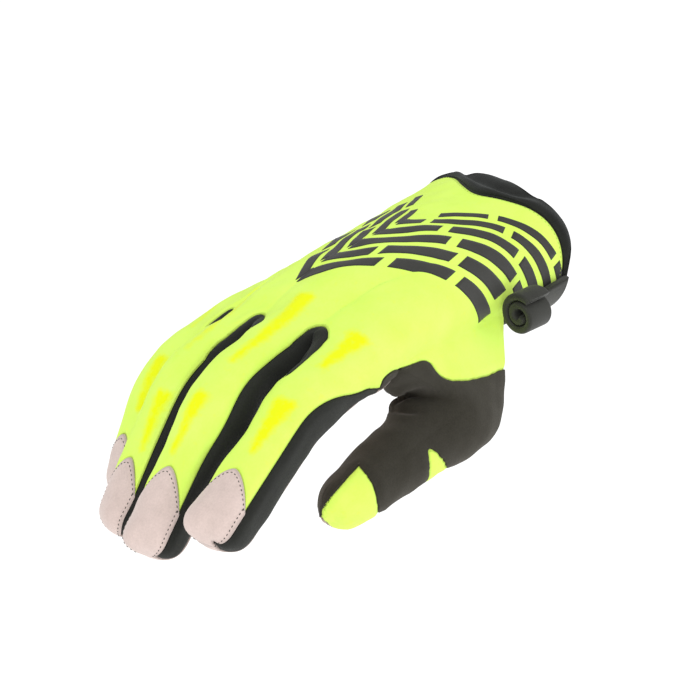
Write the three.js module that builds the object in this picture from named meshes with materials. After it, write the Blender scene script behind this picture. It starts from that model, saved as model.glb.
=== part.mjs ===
// Motocross glove for the right hand, worn shape, open at the wrist.
// X runs from the fingertips to the wrist, Y from the thumb side to the little finger,
// Z from the palm to the back of the hand. The origin is the centre of the wrist opening.
import * as THREE from 'three';

// Driving dimensions, in millimetres
const HAND_LENGTH = 106;
const KNUCKLE_SPAN = 65.5;
const FINGER_LENGTH = 106;
const FINGER_WIDTH = 22.4;
const PALM_WIDTH = 92;
const PALM_HEIGHT = 34;
const SLOT_SETBACK = 17;
const CROTCH_DEPTH = 9;
const ROOT_LENGTH = 16;
const THUMB_LENGTH = 70;
const THUMB_WIDTH = 24;
const THUMB_BASE_WIDTH = 31;
const CLOTH = 1.3;
const SUEDE = 1.3;
const STRETCH = 1.1;
const CUFF_CLOTH = 2.4;
const SEAM_GAP = 0.3;
const RIM_BEVEL = 0.35;
const CUFF_BAND = 14;
const STRAP_WIDTH = 22;
const STRAP_THICKNESS = 2.2;
const STRAP_CLEARANCE = 0.9;
const ROLL_DIAMETER = 17;
const ROLL_WIDTH = 12.2;
const ROLL_GAP = 0.9;
const ROLL_CLEARANCE = 0.6;
const ROLL_TURNS = 1.45;
const ROLL_PITCH = 0.22;

// Angles round a finger, measured from its back
const PALM_SEAM = 128;
const INDEX_ROOT_SEAM = 112;
const ROOT_TURN = 40;

// Shape shares: place of the middle joint, length over which the index seam climbs,
// squareness of the finger and thumb ovals, thumb height to width, and the limit of a mitre
const MIDDLE_JOINT = 0.46;
const INDEX_CLIMB = 0.36;
const FINGER_POWER = 0.88;
const THUMB_POWER = 0.92;
const THUMB_FLATNESS = 0.92;
const HEADING_STRETCH = 1.6;
const MITRE_LIMIT = 1.6;

// Grid counts
const BACK_STEPS = 4;
const SIDE_STEPS = 3;
const PALM_STEPS = 4;
const FINGER_ROWS = 12;
const CAP_ROWS = 4;
const CROTCH_ROW = 2;

// Fingers: knuckle place, lengths and widths as shares, angles in degrees.
// back is along HAND_LENGTH, across and rise along KNUCKLE_SPAN, first and rest along FINGER_LENGTH;
// seams are the angles of the back seams on the thumb side and on the other side.
const FINGERS = [
  { name: 'index', back: 0.952, across: -0.53, rise: 0.01,
    first: 0.415, rest: 0.512, width: 1.02, spread: 6,
    seams: [60, 58], bends: [11, 23, 0], slot: 0.72, cap: 0.24, capSide: 0.12 },
  { name: 'middle', back: 1.004, across: -0.147, rise: 0.055,
    first: 0.465, rest: 0.538, width: 0.95, spread: 5.5,
    seams: [58, 56], bends: [12, 38, -3], slot: 0.78, cap: 0.27, capSide: 0.14 },
  { name: 'ring', back: 0.945, across: 0.17, rise: 0.025,
    first: 0.43, rest: 0.545, width: 0.87, spread: -3,
    seams: [44, 58], bends: [17, 37, 3], slot: 1.25, cap: 0.25, capSide: 0.14 },
  { name: 'little', back: 0.88, across: 0.475, rise: -0.12,
    first: 0.382, rest: 0.45, width: 0.85, spread: -9.4,
    seams: [44, 60], bends: [20, 41, 9], slot: 1.35, cap: 0.27, capSide: 0.15 },
];

// Girth of a finger along it: at is a share of its length, girth a share of its width
const FINGER_GIRTH = [
  { at: 0.0, girth: 1.04 },
  { at: 0.3, girth: 1.0 },
  { at: 0.55, girth: 0.97 },
  { at: 0.8, girth: 0.94 },
  { at: 1.0, girth: 0.92 },
];

// Sections of the hand from the cuff to the finger slots: width along PALM_WIDTH, heights along
// PALM_HEIGHT, shift and drop of the centre along PALM_WIDTH, arch and tilt along PALM_HEIGHT
const HAND_SECTIONS = [
  { at: 0.0, width: 0.76, back: 0.65, palm: 0.72, shift: 0.0, lift: 0.0, arch: 0.0, tilt: 0.0, power: 2.3 },
  { at: 0.15, width: 0.74, back: 0.61, palm: 0.7, shift: 0.0, lift: 0.0, arch: 0.0, tilt: 0.02, power: 2.3 },
  { at: 0.4, width: 0.79, back: 0.6, palm: 0.66, shift: -0.01, lift: 0.0, arch: 0.1, tilt: 0.12, power: 2.3 },
  { at: 0.7, width: 0.9, back: 0.52, palm: 0.55, shift: -0.02, lift: 0.0, arch: 0.22, tilt: 0.2, power: 2.3 },
  { at: 1.0, width: 0.97, back: 0.44, palm: 0.38, shift: -0.025, lift: -0.005, arch: 0.3, tilt: 0.22,
    power: 2.4 },
];
// Headings of the seams at the wrist, from the thumb side over the back and round the palm
const WRIST_HEADINGS = [202, -12, -42, -138, -158];
const HAND_ROWS = [0, 0.08, 0.17, 0.27, 0.4, 0.53, 0.66, 0.79, 0.9, 1];
const HOLE_ROWS = [3, 8];

const RADIANS = Math.PI / 180;
const smooth = (x) => { const t = Math.min(1, Math.max(0, x)); return t * t * (3 - 2 * t); };
const mix = (a, b, t) => a + (b - a) * t;
const signed = (x, power) => Math.sign(x) * Math.abs(x) ** power;

// Value of one column of a table at a share, eased between its rows
function lookup(table, column, at) {
  let k = 0;
  while (k < table.length - 2 && at > table[k + 1].at) k += 1;
  const [a, b] = [table[k], table[k + 1]];
  const [p, q] = [table[Math.max(0, k - 1)], table[Math.min(table.length - 1, k + 2)]];
  const t = (at - a.at) / (b.at - a.at);
  const slopeA = (b[column] - p[column]) / (b.at - p.at || 1) * (b.at - a.at);
  const slopeB = (q[column] - a[column]) / (q.at - a.at || 1) * (b.at - a.at);
  const u = t * t;
  const w = u * t;
  const fromA = (2 * w - 3 * u + 1) * a[column] + (w - 2 * u + t) * slopeA;
  return fromA + (3 * u - 2 * w) * b[column] + (w - u) * slopeB;
}

// Centre line of a finger: the slope turns smoothly at each joint and is summed along the length
function fingerPath(finger) {
  const spread = finger.spread * RADIANS;
  const distal = new THREE.Vector3(-Math.cos(spread), -Math.sin(spread), 0);
  const radial = new THREE.Vector3(Math.sin(spread), -Math.cos(spread), 0);
  const up = new THREE.Vector3(0, 0, 1);
  const start = new THREE.Vector3(
    -HAND_LENGTH * finger.back, KNUCKLE_SPAN * finger.across, KNUCKLE_SPAN * finger.rise);
  const first = FINGER_LENGTH * finger.first;
  const second = first + FINGER_LENGTH * finger.rest * MIDDLE_JOINT;
  const length = FINGER_LENGTH * (finger.first + finger.rest);
  const reach = FINGER_WIDTH * 0.6;
  const slope = (s) => RADIANS * (finger.bends[0]
    + finger.bends[1] * smooth((s - first) / (2 * reach) + 0.5)
    + finger.bends[2] * smooth((s - second) / (2 * reach) + 0.5));
  const along = (s) => distal.clone().multiplyScalar(Math.cos(slope(s)))
    .addScaledVector(up, -Math.sin(slope(s)));
  const step = 0.5;
  const points = [start];
  for (let s = 0; s < length + 20; s += step) {
    points.push(points[points.length - 1].clone().addScaledVector(along(s + step / 2), step));
  }
  const frame = (s) => {
    const k = Math.min(points.length - 2, Math.max(0, Math.floor(s / step)));
    const centre = points[k].clone().lerp(points[k + 1], s / step - k);
    const tangent = along(s);
    const back = distal.clone().multiplyScalar(Math.sin(slope(s))).addScaledVector(up, Math.cos(slope(s)));
    return { centre, tangent, radial, back };
  };
  return { ...finger, length, frame, start: SLOT_SETBACK * finger.slot };
}

// Half width and half height of a finger at a distance from its knuckle; the tip rounds to a blunt end
function fingerSize(finger, s) {
  const girth = lookup(FINGER_GIRTH, 'girth', Math.min(1, s / finger.length));
  const half = FINGER_WIDTH * finger.width / 2 * girth;
  const round = FINGER_WIDTH * 0.42;
  const q = Math.min(1, Math.max(0, (s - finger.length + round) / round));
  return { wide: half * (1 - 0.28 * q * q), high: half * 0.94 * Math.sqrt(1 - q * q) };
}

// Place in a finger's own frame: across to the thumb side, and up to the back
function tubeOffset(finger, s, angle) {
  const size = fingerSize(finger, s);
  return {
    across: size.wide * signed(Math.sin(angle * RADIANS), FINGER_POWER),
    rise: size.high * signed(Math.cos(angle * RADIANS), FINGER_POWER),
  };
}

// Back seam of a side; on the thumb side of the index it starts low and climbs to the finger's knuckle
function backSeam(finger, side, s) {
  const seam = finger.seams[side > 0 ? 0 : 1];
  if (finger.name !== 'index' || side < 0) return seam;
  return mix(INDEX_ROOT_SEAM, seam, smooth((s - finger.start) / (FINGER_LENGTH * INDEX_CLIMB)));
}
const rootBackSeam = (i, side) => {
  if (i === 0 && side > 0) return INDEX_ROOT_SEAM;
  return i === 3 && side < 0 ? FINGERS[3].seams[1] : ROOT_TURN;
};
const rootPalmSeam = (i, side) => {
  const outer = (i === 0 && side > 0) || (i === 3 && side < 0);
  return outer ? PALM_SEAM : 180 - ROOT_TURN;
};

function place(frame, ahead, across, rise) {
  return frame.centre.clone().addScaledVector(frame.tangent, ahead)
    .addScaledVector(frame.radial, across).addScaledVector(frame.back, rise);
}

const fingers = FINGERS.map(fingerPath);

function tubePoint(finger, s, angle) {
  const o = tubeOffset(finger, s, angle);
  return place(finger.frame(s), 0, o.across, o.rise);
}

// Columns round the hand, each named by the finger seams that grow from it
function handColumns() {
  const ring = [];
  fingers.forEach((finger, i) => {
    for (let k = 0; k < BACK_STEPS; k += 1) {
      const feet = [{ finger, angle: mix(rootBackSeam(i, 1), -rootBackSeam(i, -1), k / BACK_STEPS) }];
      if (k === 0 && i > 0) feet.push({ finger: fingers[i - 1], angle: -rootBackSeam(i - 1, -1) });
      ring.push(feet);
    }
  });
  for (let k = 0; k < SIDE_STEPS; k += 1) {
    ring.push([{ finger: fingers[3], angle: -mix(FINGERS[3].seams[1], PALM_SEAM, k / SIDE_STEPS) }]);
  }
  for (let i = 3; i >= 0; i -= 1) {
    for (let k = 0; k < PALM_STEPS; k += 1) {
      const angle = -mix(rootPalmSeam(i, -1), 360 - rootPalmSeam(i, 1), k / PALM_STEPS);
      const feet = [{ finger: fingers[i], angle }];
      if (k === 0 && i < 3) feet.push({ finger: fingers[i + 1], angle: rootPalmSeam(i + 1, 1) });
      ring.push(feet);
    }
  }
  for (let k = 0; k < SIDE_STEPS; k += 1) {
    ring.push([{ finger: fingers[0], angle: mix(PALM_SEAM, INDEX_ROOT_SEAM, k / SIDE_STEPS) }]);
  }
  return ring;
}

const RING = handColumns();
const RING_COUNT = RING.length;
const PALM_START = 4 * BACK_STEPS + SIDE_STEPS;
const SIDE_START = PALM_START + 4 * PALM_STEPS;

function handSection(at) {
  const s = (column) => lookup(HAND_SECTIONS, column, at);
  return {
    half: PALM_WIDTH / 2 * s('width'), back: PALM_HEIGHT * s('back'), palm: PALM_HEIGHT * s('palm'),
    y: PALM_WIDTH * s('shift'), z: PALM_WIDTH * s('lift'),
    arch: PALM_HEIGHT * s('arch'), tilt: PALM_HEIGHT * s('tilt'), power: s('power'),
  };
}

// Point of a hand section in the direction of a column, bent by the arch and tilt of the knuckles
function sectionPoint(section, heading) {
  const [c, v] = [Math.cos(heading), Math.sin(heading)];
  const high = v > 0 ? section.back : section.palm;
  const { half, power } = section;
  const r = ((Math.abs(c) / half) ** power + (Math.abs(v) / high) ** power) ** (-1 / power);
  const share = r * c / section.half;
  return [section.y + r * c, section.z + r * v - section.arch * share * share - section.tilt * share];
}

// Heading and reach of each column, taken from where the finger seams start
const last = handSection(1);
const COLUMN = RING.map((feet) => {
  const mean = feet.map((f) => tubePoint(f.finger, f.finger.start, f.angle))
    .reduce((a, b) => a.add(b), new THREE.Vector3()).divideScalar(feet.length);
  const share = Math.min(1, Math.max(-1, (mean.y - last.y) / last.half));
  const rise = mean.z - last.z + last.arch * share * share + last.tilt * share;
  const slope = feet.map((f) => f.finger.frame(f.finger.start).tangent)
    .reduce((a, t) => a.add(t.clone().divideScalar(-t.x * feet.length)), new THREE.Vector3());
  return { heading: Math.atan2(rise * HEADING_STRETCH, mean.y - last.y) / RADIANS, end: mean, slope };
});
// Headings run down without a jump, from the thumb side over the back and round the palm
COLUMN.forEach((c, k) => {
  const before = k ? COLUMN[k - 1].heading : 180;
  while (c.heading > before + 90) c.heading -= 360;
  while (c.heading < before - 270) c.heading += 360;
});
const SEAM_COLUMNS = [0, 4 * BACK_STEPS, PALM_START, SIDE_START, RING_COUNT];
function wristHeading(column) {
  const k = SEAM_COLUMNS.findIndex((c, j) => j > 0 && column <= c);
  const [from, to] = [SEAM_COLUMNS[k - 1], SEAM_COLUMNS[k]];
  return mix(WRIST_HEADINGS[k - 1], WRIST_HEADINGS[k], (column - from) / (to - from));
}
const headingAt = (column, at) => mix(wristHeading(column), COLUMN[column].heading, smooth(at) ** 1.5);

// Width of the cuff band round the wrist, by the heading of the column
const BAND_WIDTHS = [
  { at: -180, width: 0.16 },
  { at: -130, width: 0.14 },
  { at: -90, width: 0.4 },
  { at: -20, width: 0.3 },
  { at: 40, width: 0.14 },
  { at: 75, width: 0.75 },
  { at: 100, width: 1.0 },
  { at: 140, width: 0.6 },
  { at: 180, width: 0.16 },
];

const bandTurn = (column) => ((wristHeading(column) + 180) % 360 + 360) % 360 - 180;
const bandEdge = (column) => -CUFF_BAND * lookup(BAND_WIDTHS, 'width', bandTurn(column));

// The oval sections of the hand run into the ring of finger roots over the last stretch
function handPoint(row, column) {
  const at = HAND_ROWS[row];
  const { end, slope } = COLUMN[column];
  const x = mix(bandEdge(column), end.x, at);
  const [y, z] = sectionPoint(handSection(at), headingAt(column, at) * RADIANS);
  const root = end.clone().addScaledVector(slope, end.x - x);
  const share = smooth((at - 0.55) / 0.45);
  return new THREE.Vector3(x, mix(y, root.y, share), mix(z, root.z, share));
}

const handGrid = HAND_ROWS.map((_, row) => RING.map((__, column) => handPoint(row, column)));
const handEnd = (column) => handGrid[HAND_ROWS.length - 1][column % RING_COUNT];

// Distance along a finger of a row: the rows bunch to the pointed arch of the tip cap
function rowStation(finger, row, across) {
  const arch = finger.length * (1 - mix(finger.cap, finger.capSide, Math.abs(across) ** 1.5));
  const crotch = finger.start + CROTCH_DEPTH;
  if (row <= CROTCH_ROW) return mix(finger.start, crotch, row / CROTCH_ROW);
  if (row <= FINGER_ROWS) return mix(crotch, arch, (row - CROTCH_ROW) / (FINGER_ROWS - CROTCH_ROW));
  return mix(arch, finger.length - 0.15, (row - FINGER_ROWS) / CAP_ROWS);
}

const LAST_ROW = FINGER_ROWS + CAP_ROWS;
const blendAt = (finger, s) => 1 - (1 - Math.min(1, (s - finger.start) / ROOT_LENGTH)) ** 2;

// A finger point that grows out of a hand column and turns into the finger's own section
function grownPoint(finger, row, across, angle, column) {
  const s = rowStation(finger, row, across);
  const root = finger.frame(finger.start);
  const offset = handEnd(column).clone().sub(root.centre);
  const share = blendAt(finger, s);
  const tube = tubeOffset(finger, s, angle);
  return place(finger.frame(s), (1 - share) * offset.dot(root.tangent),
    mix(offset.dot(root.radial), tube.across, share), mix(offset.dot(root.back), tube.rise, share));
}

const rows = (count, make) => Array.from({ length: count + 1 }, (_, k) => make(k));

// Four strips of each finger, as grids of points: back, palm and the two sides
fingers.forEach((finger, i) => {
  finger.back = rows(LAST_ROW, (row) => rows(BACK_STEPS, (k) => {
    const across = mix(1, -1, k / BACK_STEPS);
    const side = across < 0 ? -1 : 1;
    const angle = across * backSeam(finger, side, rowStation(finger, row, across));
    return grownPoint(finger, row, across, angle, i * BACK_STEPS + k);
  }));
  finger.palm = rows(LAST_ROW, (row) => rows(PALM_STEPS, (k) => {
    const angle = -mix(PALM_SEAM, 360 - PALM_SEAM, k / PALM_STEPS);
    return grownPoint(finger, row, 1, angle, PALM_START + (3 - i) * PALM_STEPS + k);
  }));
});

// Palm seams of neighbours run together up to the crotch and part beyond it
for (let i = 0; i < 3; i += 1) {
  const [one, two] = [fingers[i], fingers[i + 1]];
  for (let row = 1; row <= LAST_ROW; row += 1) {
    const pull = 1 - smooth((row - CROTCH_ROW) / 2);
    const [a, b] = [one.palm[row][0], two.palm[row][PALM_STEPS]];
    const middle = a.clone().lerp(b, 0.5);
    const [shiftA, shiftB] = [middle.clone().sub(a), middle.clone().sub(b)];
    one.palm[row].forEach((p, k) => p.addScaledVector(shiftA, pull * (1 - k / PALM_STEPS) ** 2));
    two.palm[row].forEach((p, k) => p.addScaledVector(shiftB, pull * (k / PALM_STEPS) ** 2));
  }
}

// Side strip between the back seam and the palm seam; reach below 1 stops it in the valley
function sidePoint(finger, side, row, u, reach, end) {
  const s = rowStation(finger, row, 1);
  const seam = backSeam(finger, side, s);
  const angle = side * mix(seam, PALM_SEAM, u * reach);
  const top = side > 0 ? finger.back[row][0] : finger.back[row][BACK_STEPS];
  const topShift = top.clone().sub(tubePoint(finger, s, side * seam));
  const endShift = end.clone().sub(tubePoint(finger, s, side * mix(seam, PALM_SEAM, reach)));
  return tubePoint(finger, s, angle).addScaledVector(topShift, 1 - u).addScaledVector(endShift, u);
}

const palmEdge = (finger, side, row) => finger.palm[row][side > 0 ? PALM_STEPS : 0];

function valleyPoint(one, two, row, reach) {
  const half = (finger, side) => {
    const s = rowStation(finger, row, 1);
    const seam = backSeam(finger, side, s);
    const top = side > 0 ? finger.back[row][0] : finger.back[row][BACK_STEPS];
    const foot = palmEdge(finger, side, row);
    return tubePoint(finger, s, side * mix(seam, PALM_SEAM, reach))
      .addScaledVector(top.clone().sub(tubePoint(finger, s, side * seam)), 1 - reach)
      .addScaledVector(foot.clone().sub(tubePoint(finger, s, side * PALM_SEAM)), reach);
  };
  return half(one, -1).lerp(half(two, 1), 0.5);
}

for (let i = 0; i < 3; i += 1) {
  const [one, two] = [fingers[i], fingers[i + 1]];
  [[one, -1, 'ulnarSide'], [two, 1, 'radialSide']].forEach(([finger, side, key]) => {
    finger[key] = rows(LAST_ROW, (row) => {
      const reach = Math.min(1, row / CROTCH_ROW);
      const end = row < CROTCH_ROW ? valleyPoint(one, two, row, reach) : palmEdge(finger, side, row);
      return rows(SIDE_STEPS, (k) => (row === 0
        ? finger.back[0][side > 0 ? 0 : BACK_STEPS].clone()
        : sidePoint(finger, side, row, k / SIDE_STEPS, reach, end)));
    });
  });
}
fingers[0].radialSide = rows(LAST_ROW, (row) => rows(SIDE_STEPS, (k) => {
  const seam = backSeam(fingers[0], 1, rowStation(fingers[0], row, 1));
  return grownPoint(fingers[0], row, 1, mix(seam, PALM_SEAM, k / SIDE_STEPS), SIDE_START + SIDE_STEPS - k);
}));
fingers[3].ulnarSide = rows(LAST_ROW, (row) => rows(SIDE_STEPS, (k) => grownPoint(
  fingers[3], row, 1, -mix(FINGERS[3].seams[1], PALM_SEAM, k / SIDE_STEPS), 4 * BACK_STEPS + k)));

// Thumb: knuckle place as shares of HAND_LENGTH, PALM_WIDTH and PALM_WIDTH, heading in degrees
const THUMB = { back: 0.625, across: -0.435, rise: -0.37, spread: 5, drop: 8, bend: 6 };
// Rows along the thumb: root up to the black panel's edge, web, shaft, and tip past the tip seam
const ZONES = { root: 3, web: 4, shaft: 6, tip: 4 };
// Girth along the thumb, and how far its outer underside swells beyond that
const THUMB_GIRTH = [
  { at: 0.0, girth: 1.0, swell: 0.08 },
  { at: 0.35, girth: 0.9, swell: 0.3 },
  { at: 0.55, girth: 0.87, swell: 0.26 },
  { at: 0.75, girth: 0.86, swell: 0.06 },
  { at: 1.0, girth: 0.8, swell: 0.0 },
];
const SWELL_ANGLE = 165;

function thumbFrame(s) {
  const knuckle = new THREE.Vector3(
    -HAND_LENGTH * THUMB.back, PALM_WIDTH * THUMB.across, PALM_WIDTH * THUMB.rise);
  const spread = THUMB.spread * RADIANS;
  const half = THUMB_LENGTH / 2;
  const heading = (drop) => new THREE.Vector3(
    -Math.cos(spread) * Math.cos(drop), -Math.sin(spread) * Math.cos(drop), -Math.sin(drop));
  const first = THUMB.drop * RADIANS;
  const second = first + THUMB.bend * RADIANS;
  const turn = smooth((s - half) / FINGER_WIDTH + 0.5);
  const centre = knuckle.clone().addScaledVector(heading(first), Math.min(s, half))
    .addScaledVector(heading(second), Math.max(0, s - half));
  const tangent = heading(mix(first, second, turn));
  const web = new THREE.Vector3(0, 0.25, 0.97);
  web.addScaledVector(tangent, -web.dot(tangent)).normalize();
  const outer = new THREE.Vector3().crossVectors(web, tangent).normalize();
  return { centre, tangent, web, outer };
}

function thumbPoint(s, angle) {
  const at = Math.min(1, Math.max(0, s / THUMB_LENGTH));
  const turn = Math.max(0, Math.cos((angle - SWELL_ANGLE) * RADIANS));
  const half = mix(THUMB_BASE_WIDTH, THUMB_WIDTH, smooth(at / 0.4)) / 2
    * lookup(THUMB_GIRTH, 'girth', at) * (1 + lookup(THUMB_GIRTH, 'swell', at) * turn);
  const round = THUMB_WIDTH * 0.45;
  const q = Math.min(1, Math.max(0, (s - THUMB_LENGTH + round) / round));
  const f = thumbFrame(s);
  const wide = half * (1 - 0.3 * q * q);
  const high = half * THUMB_FLATNESS * Math.sqrt(1 - q * q);
  return f.centre.clone()
    .addScaledVector(f.web, wide * signed(Math.cos(angle * RADIANS), THUMB_POWER))
    .addScaledVector(f.outer, high * signed(Math.sin(angle * RADIANS), THUMB_POWER));
}

// Loop of hand points round the thumb's root, with the angle on the thumb that each one runs to
const HOLE_COLUMNS = [SIDE_START - PALM_STEPS - 2, RING_COUNT];
function thumbLoop() {
  const loop = [];
  const [r0, r1] = HOLE_ROWS;
  const [c0, c1] = HOLE_COLUMNS;
  const add = (row, column, angle) => loop.push({ row, column: column % RING_COUNT, angle });
  for (let r = r0; r < r1; r += 1) add(r, c1, mix(140, 45, (r - r0) / (r1 - r0)));
  for (let c = c1; c > c0; c -= 1) add(r1, c, mix(45, -45, (c1 - c) / (c1 - c0)));
  for (let r = r1; r > r0; r -= 1) add(r, c0, mix(-45, -140, (r1 - r) / (r1 - r0)));
  for (let c = c0; c < c1; c += 1) add(r0, c, mix(-140, -220, (c - c0) / (c1 - c0)));
  return loop;
}

const LOOP = thumbLoop();
const ROOT_CENTRE = LOOP.reduce((sum, p) => sum.add(handGrid[p.row][p.column]), new THREE.Vector3())
  .divideScalar(LOOP.length);

function rootStation(angle) {
  return THUMB_LENGTH * (0.1 + 0.14 * Math.cos(angle * RADIANS));
}

// Where the black panel starts on the root and where the yellow tip starts, by angle round the thumb
const THUMB_SEAMS = [
  { at: -220, root: 0.36, tip: 0.79 },
  { at: -150, root: 0.5, tip: 0.78 },
  { at: -45, root: 0.12, tip: 0.77 },
  { at: 20, root: 0.1, tip: 0.76 },
  { at: 45, root: 0.12, tip: 0.75 },
  { at: 70, root: 0.05, tip: 0.75 },
  { at: 90, root: 0.4, tip: 0.76 },
  { at: 115, root: 0.46, tip: 0.78 },
  { at: 140, root: 0.36, tip: 0.79 },
];

// Root and web rows leave the hand along the straight way to the thumb and turn into its direction
function thumbColumn(p) {
  const from = handGrid[p.row][p.column];
  const s0 = rootStation(p.angle);
  const to = thumbPoint(s0, p.angle);
  const chord = to.clone().sub(from);
  const size = chord.length();
  const away = new THREE.Vector3(0, from.y, from.z).normalize();
  const leave = chord.clone().multiplyScalar(0.9).addScaledVector(away, size * 0.15);
  const arrive = thumbFrame(s0).tangent.clone().multiplyScalar(size * 0.8);
  const onWeb = (t) => {
    const [u, w] = [t * t, t * t * t];
    return from.clone().multiplyScalar(2 * w - 3 * u + 1).addScaledVector(leave, w - 2 * u + t)
      .addScaledVector(to, 3 * u - 2 * w).addScaledVector(arrive, w - u);
  };
  const seam = lookup(THUMB_SEAMS, 'root', p.angle);
  const tipSeam = THUMB_LENGTH * lookup(THUMB_SEAMS, 'tip', p.angle);
  const tip = (k) => mix(tipSeam, THUMB_LENGTH - 0.15, k / ZONES.tip);
  return [
    ...rows(ZONES.root, (k) => onWeb(seam * k / ZONES.root)),
    ...rows(ZONES.web - 1, (k) => onWeb(mix(seam, 1, (k + 1) / ZONES.web))),
    ...rows(ZONES.shaft - 1, (k) => thumbPoint(mix(s0, tipSeam, (k + 1) / ZONES.shaft), p.angle)),
    ...rows(ZONES.tip - 1, (k) => thumbPoint(tip(k + 1), p.angle)),
  ];
}
const thumbColumns = LOOP.map(thumbColumn);

// Surface of the whole glove: every cell goes to a panel, and neighbours share their corners
const corners = [];
const cornerKeys = new Map();
function corner(p) {
  const key = [p.x, p.y, p.z].map((v) => Math.round(v * 2000)).join(' ');
  if (!cornerKeys.has(key)) {
    cornerKeys.set(key, corners.length);
    corners.push(p.clone());
  }
  return cornerKeys.get(key);
}

const panels = new Map();
function face(panel, a, b, c) {
  if (a === b || b === c || a === c) return;
  if (!panels.has(panel)) panels.set(panel, []);
  panels.get(panel).push([a, b, c]);
}
function cell(panel, p00, p01, p11, p10) {
  const [a, b, c, d] = [p00, p01, p11, p10].map(corner);
  face(panel, a, b, c);
  face(panel, a, c, d);
}
// Grid rows run away from the wrist and columns run clockwise seen from the fingertips
function sheet(grid, panelAt) {
  for (let r = 0; r < grid.length - 1; r += 1) {
    for (let k = 0; k < grid[r].length - 1; k += 1) {
      const panel = panelAt(r, k);
      if (panel) cell(panel, grid[r][k], grid[r][k + 1], grid[r + 1][k + 1], grid[r + 1][k]);
    }
  }
}

// Hand cells by column: back and ulnar side, palm, thumb side
sheet(handGrid.map((row) => [...row, row[0]]), (r, k) => {
  const inHole = r >= HOLE_ROWS[0] && r < HOLE_ROWS[1] && k >= HOLE_COLUMNS[0] && k < HOLE_COLUMNS[1];
  if (inHole) return null;
  if (k < PALM_START) return 'back_panel';
  if (k < SIDE_START) return 'palm_panel';
  return r >= HOLE_ROWS[1] ? 'index_side_strip' : 'back_panel';
});

// Soft band round the wrist opening, wider over the back of the hand
const BAND_ROWS = 3;
const bandRim = (column) => CUFF_BAND * 0.18 * smooth(1 - Math.abs(bandTurn(column) - 95) / 60);
const bandGrid = rows(BAND_ROWS, (row) => RING.map((_, column) => {
  const t = row / BAND_ROWS;
  const swell = 1 + 0.015 * Math.sin(Math.PI * (1 - t) * 0.8);
  const edge = handGrid[0][column];
  const share = row === BAND_ROWS ? 1 : swell;
  return new THREE.Vector3(mix(bandRim(column), edge.x, t), edge.y * share, edge.z * share);
}));
sheet(bandGrid.map((row) => [...row, row[0]]), () => 'cuff_band');

const SIDE_NAMES = {
  index: ['index_side_strip', 'index_middle_fourchette'],
  middle: ['index_middle_fourchette', 'middle_ring_fourchette'],
  ring: ['middle_ring_fourchette', 'ring_little_fourchette'],
  little: ['ring_little_fourchette', 'little_side_strip'],
};
fingers.forEach((finger) => {
  const [radialName, ulnarName] = SIDE_NAMES[finger.name];
  sheet(finger.back, (r) => (r < FINGER_ROWS ? 'back_panel' : 'palm_panel'));
  sheet(finger.palm, () => 'palm_panel');
  sheet(finger.ulnarSide, () => ulnarName);
  sheet(finger.radialSide.map((row) => [...row].reverse()), () => radialName);
  const ring = [finger.back, finger.ulnarSide, finger.palm].flatMap((g) => g[LAST_ROW].slice(0, -1))
    .concat([...finger.radialSide[LAST_ROW]].reverse().slice(0, -1));
  const tip = corner(finger.frame(finger.length).centre);
  ring.forEach((p, k) => face('palm_panel', corner(p), corner(ring[(k + 1) % ring.length]), tip));
});

// Thumb cells: yellow root, black panel over web and shaft, yellow tip and gusset, suede underside
const GUSSET = { from: 100, rows: [2, 4] };
const UNDERSIDE = [-168, -44];
const BLACK_EDGE = 14;
function thumbPanelAt(r, angle) {
  const shaftRow = r - ZONES.root - ZONES.web;
  if (angle > UNDERSIDE[0] && angle < UNDERSIDE[1]) return 'palm_panel';
  const outer = angle > BLACK_EDGE || angle < UNDERSIDE[0];
  if (r < ZONES.root) return angle > BLACK_EDGE + 40 || angle < UNDERSIDE[0] ? 'back_panel' : 'thumb_panel';
  if (shaftRow >= ZONES.shaft) return outer ? 'thumb_tip_panel' : 'thumb_panel';
  const low = angle > GUSSET.from || angle < UNDERSIDE[0];
  return low && shaftRow >= GUSSET.rows[0] && shaftRow < GUSSET.rows[1] ? 'thumb_gusset' : 'thumb_panel';
}
const LOOP_COUNT = LOOP.length;
for (let k = 0; k < LOOP_COUNT; k += 1) {
  const [one, two] = [thumbColumns[k], thumbColumns[(k + 1) % LOOP_COUNT]];
  let [a, b] = [LOOP[k].angle, LOOP[(k + 1) % LOOP_COUNT].angle];
  if (k === LOOP_COUNT - 1) b = -220;
  const angle = (a + b) / 2;
  for (let r = 0; r < one.length - 1; r += 1) {
    cell(thumbPanelAt(r, angle), one[r], two[r], two[r + 1], one[r + 1]);
  }
  const tip = corner(thumbFrame(THUMB_LENGTH).centre);
  face(thumbPanelAt(one.length, angle), corner(one[one.length - 1]), corner(two[two.length - 1]), tip);
}

// Normals of the whole surface, shared across the seams
const normals = corners.map(() => new THREE.Vector3());
for (const faces of panels.values()) {
  for (const [a, b, c] of faces) {
    const [ab, ac] = [b, c].map((k) => corners[k].clone().sub(corners[a]));
    const n = new THREE.Vector3().crossVectors(ab, ac);
    [a, b, c].forEach((k) => normals[k].add(n));
  }
}
normals.forEach((n) => n.normalize());

// Directions of the walls: the normals evened out over their neighbours, so thin strips don't fold over
let inwards = normals;
for (let pass = 0; pass < 3; pass += 1) {
  const next = inwards.map((n) => n.clone());
  for (const faces of panels.values()) {
    for (const f of faces) {
      const sum = f.reduce((a, k) => a.add(inwards[k]), new THREE.Vector3());
      f.forEach((k) => next[k].add(sum));
    }
  }
  inwards = next.map((n) => n.normalize());
}

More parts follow.
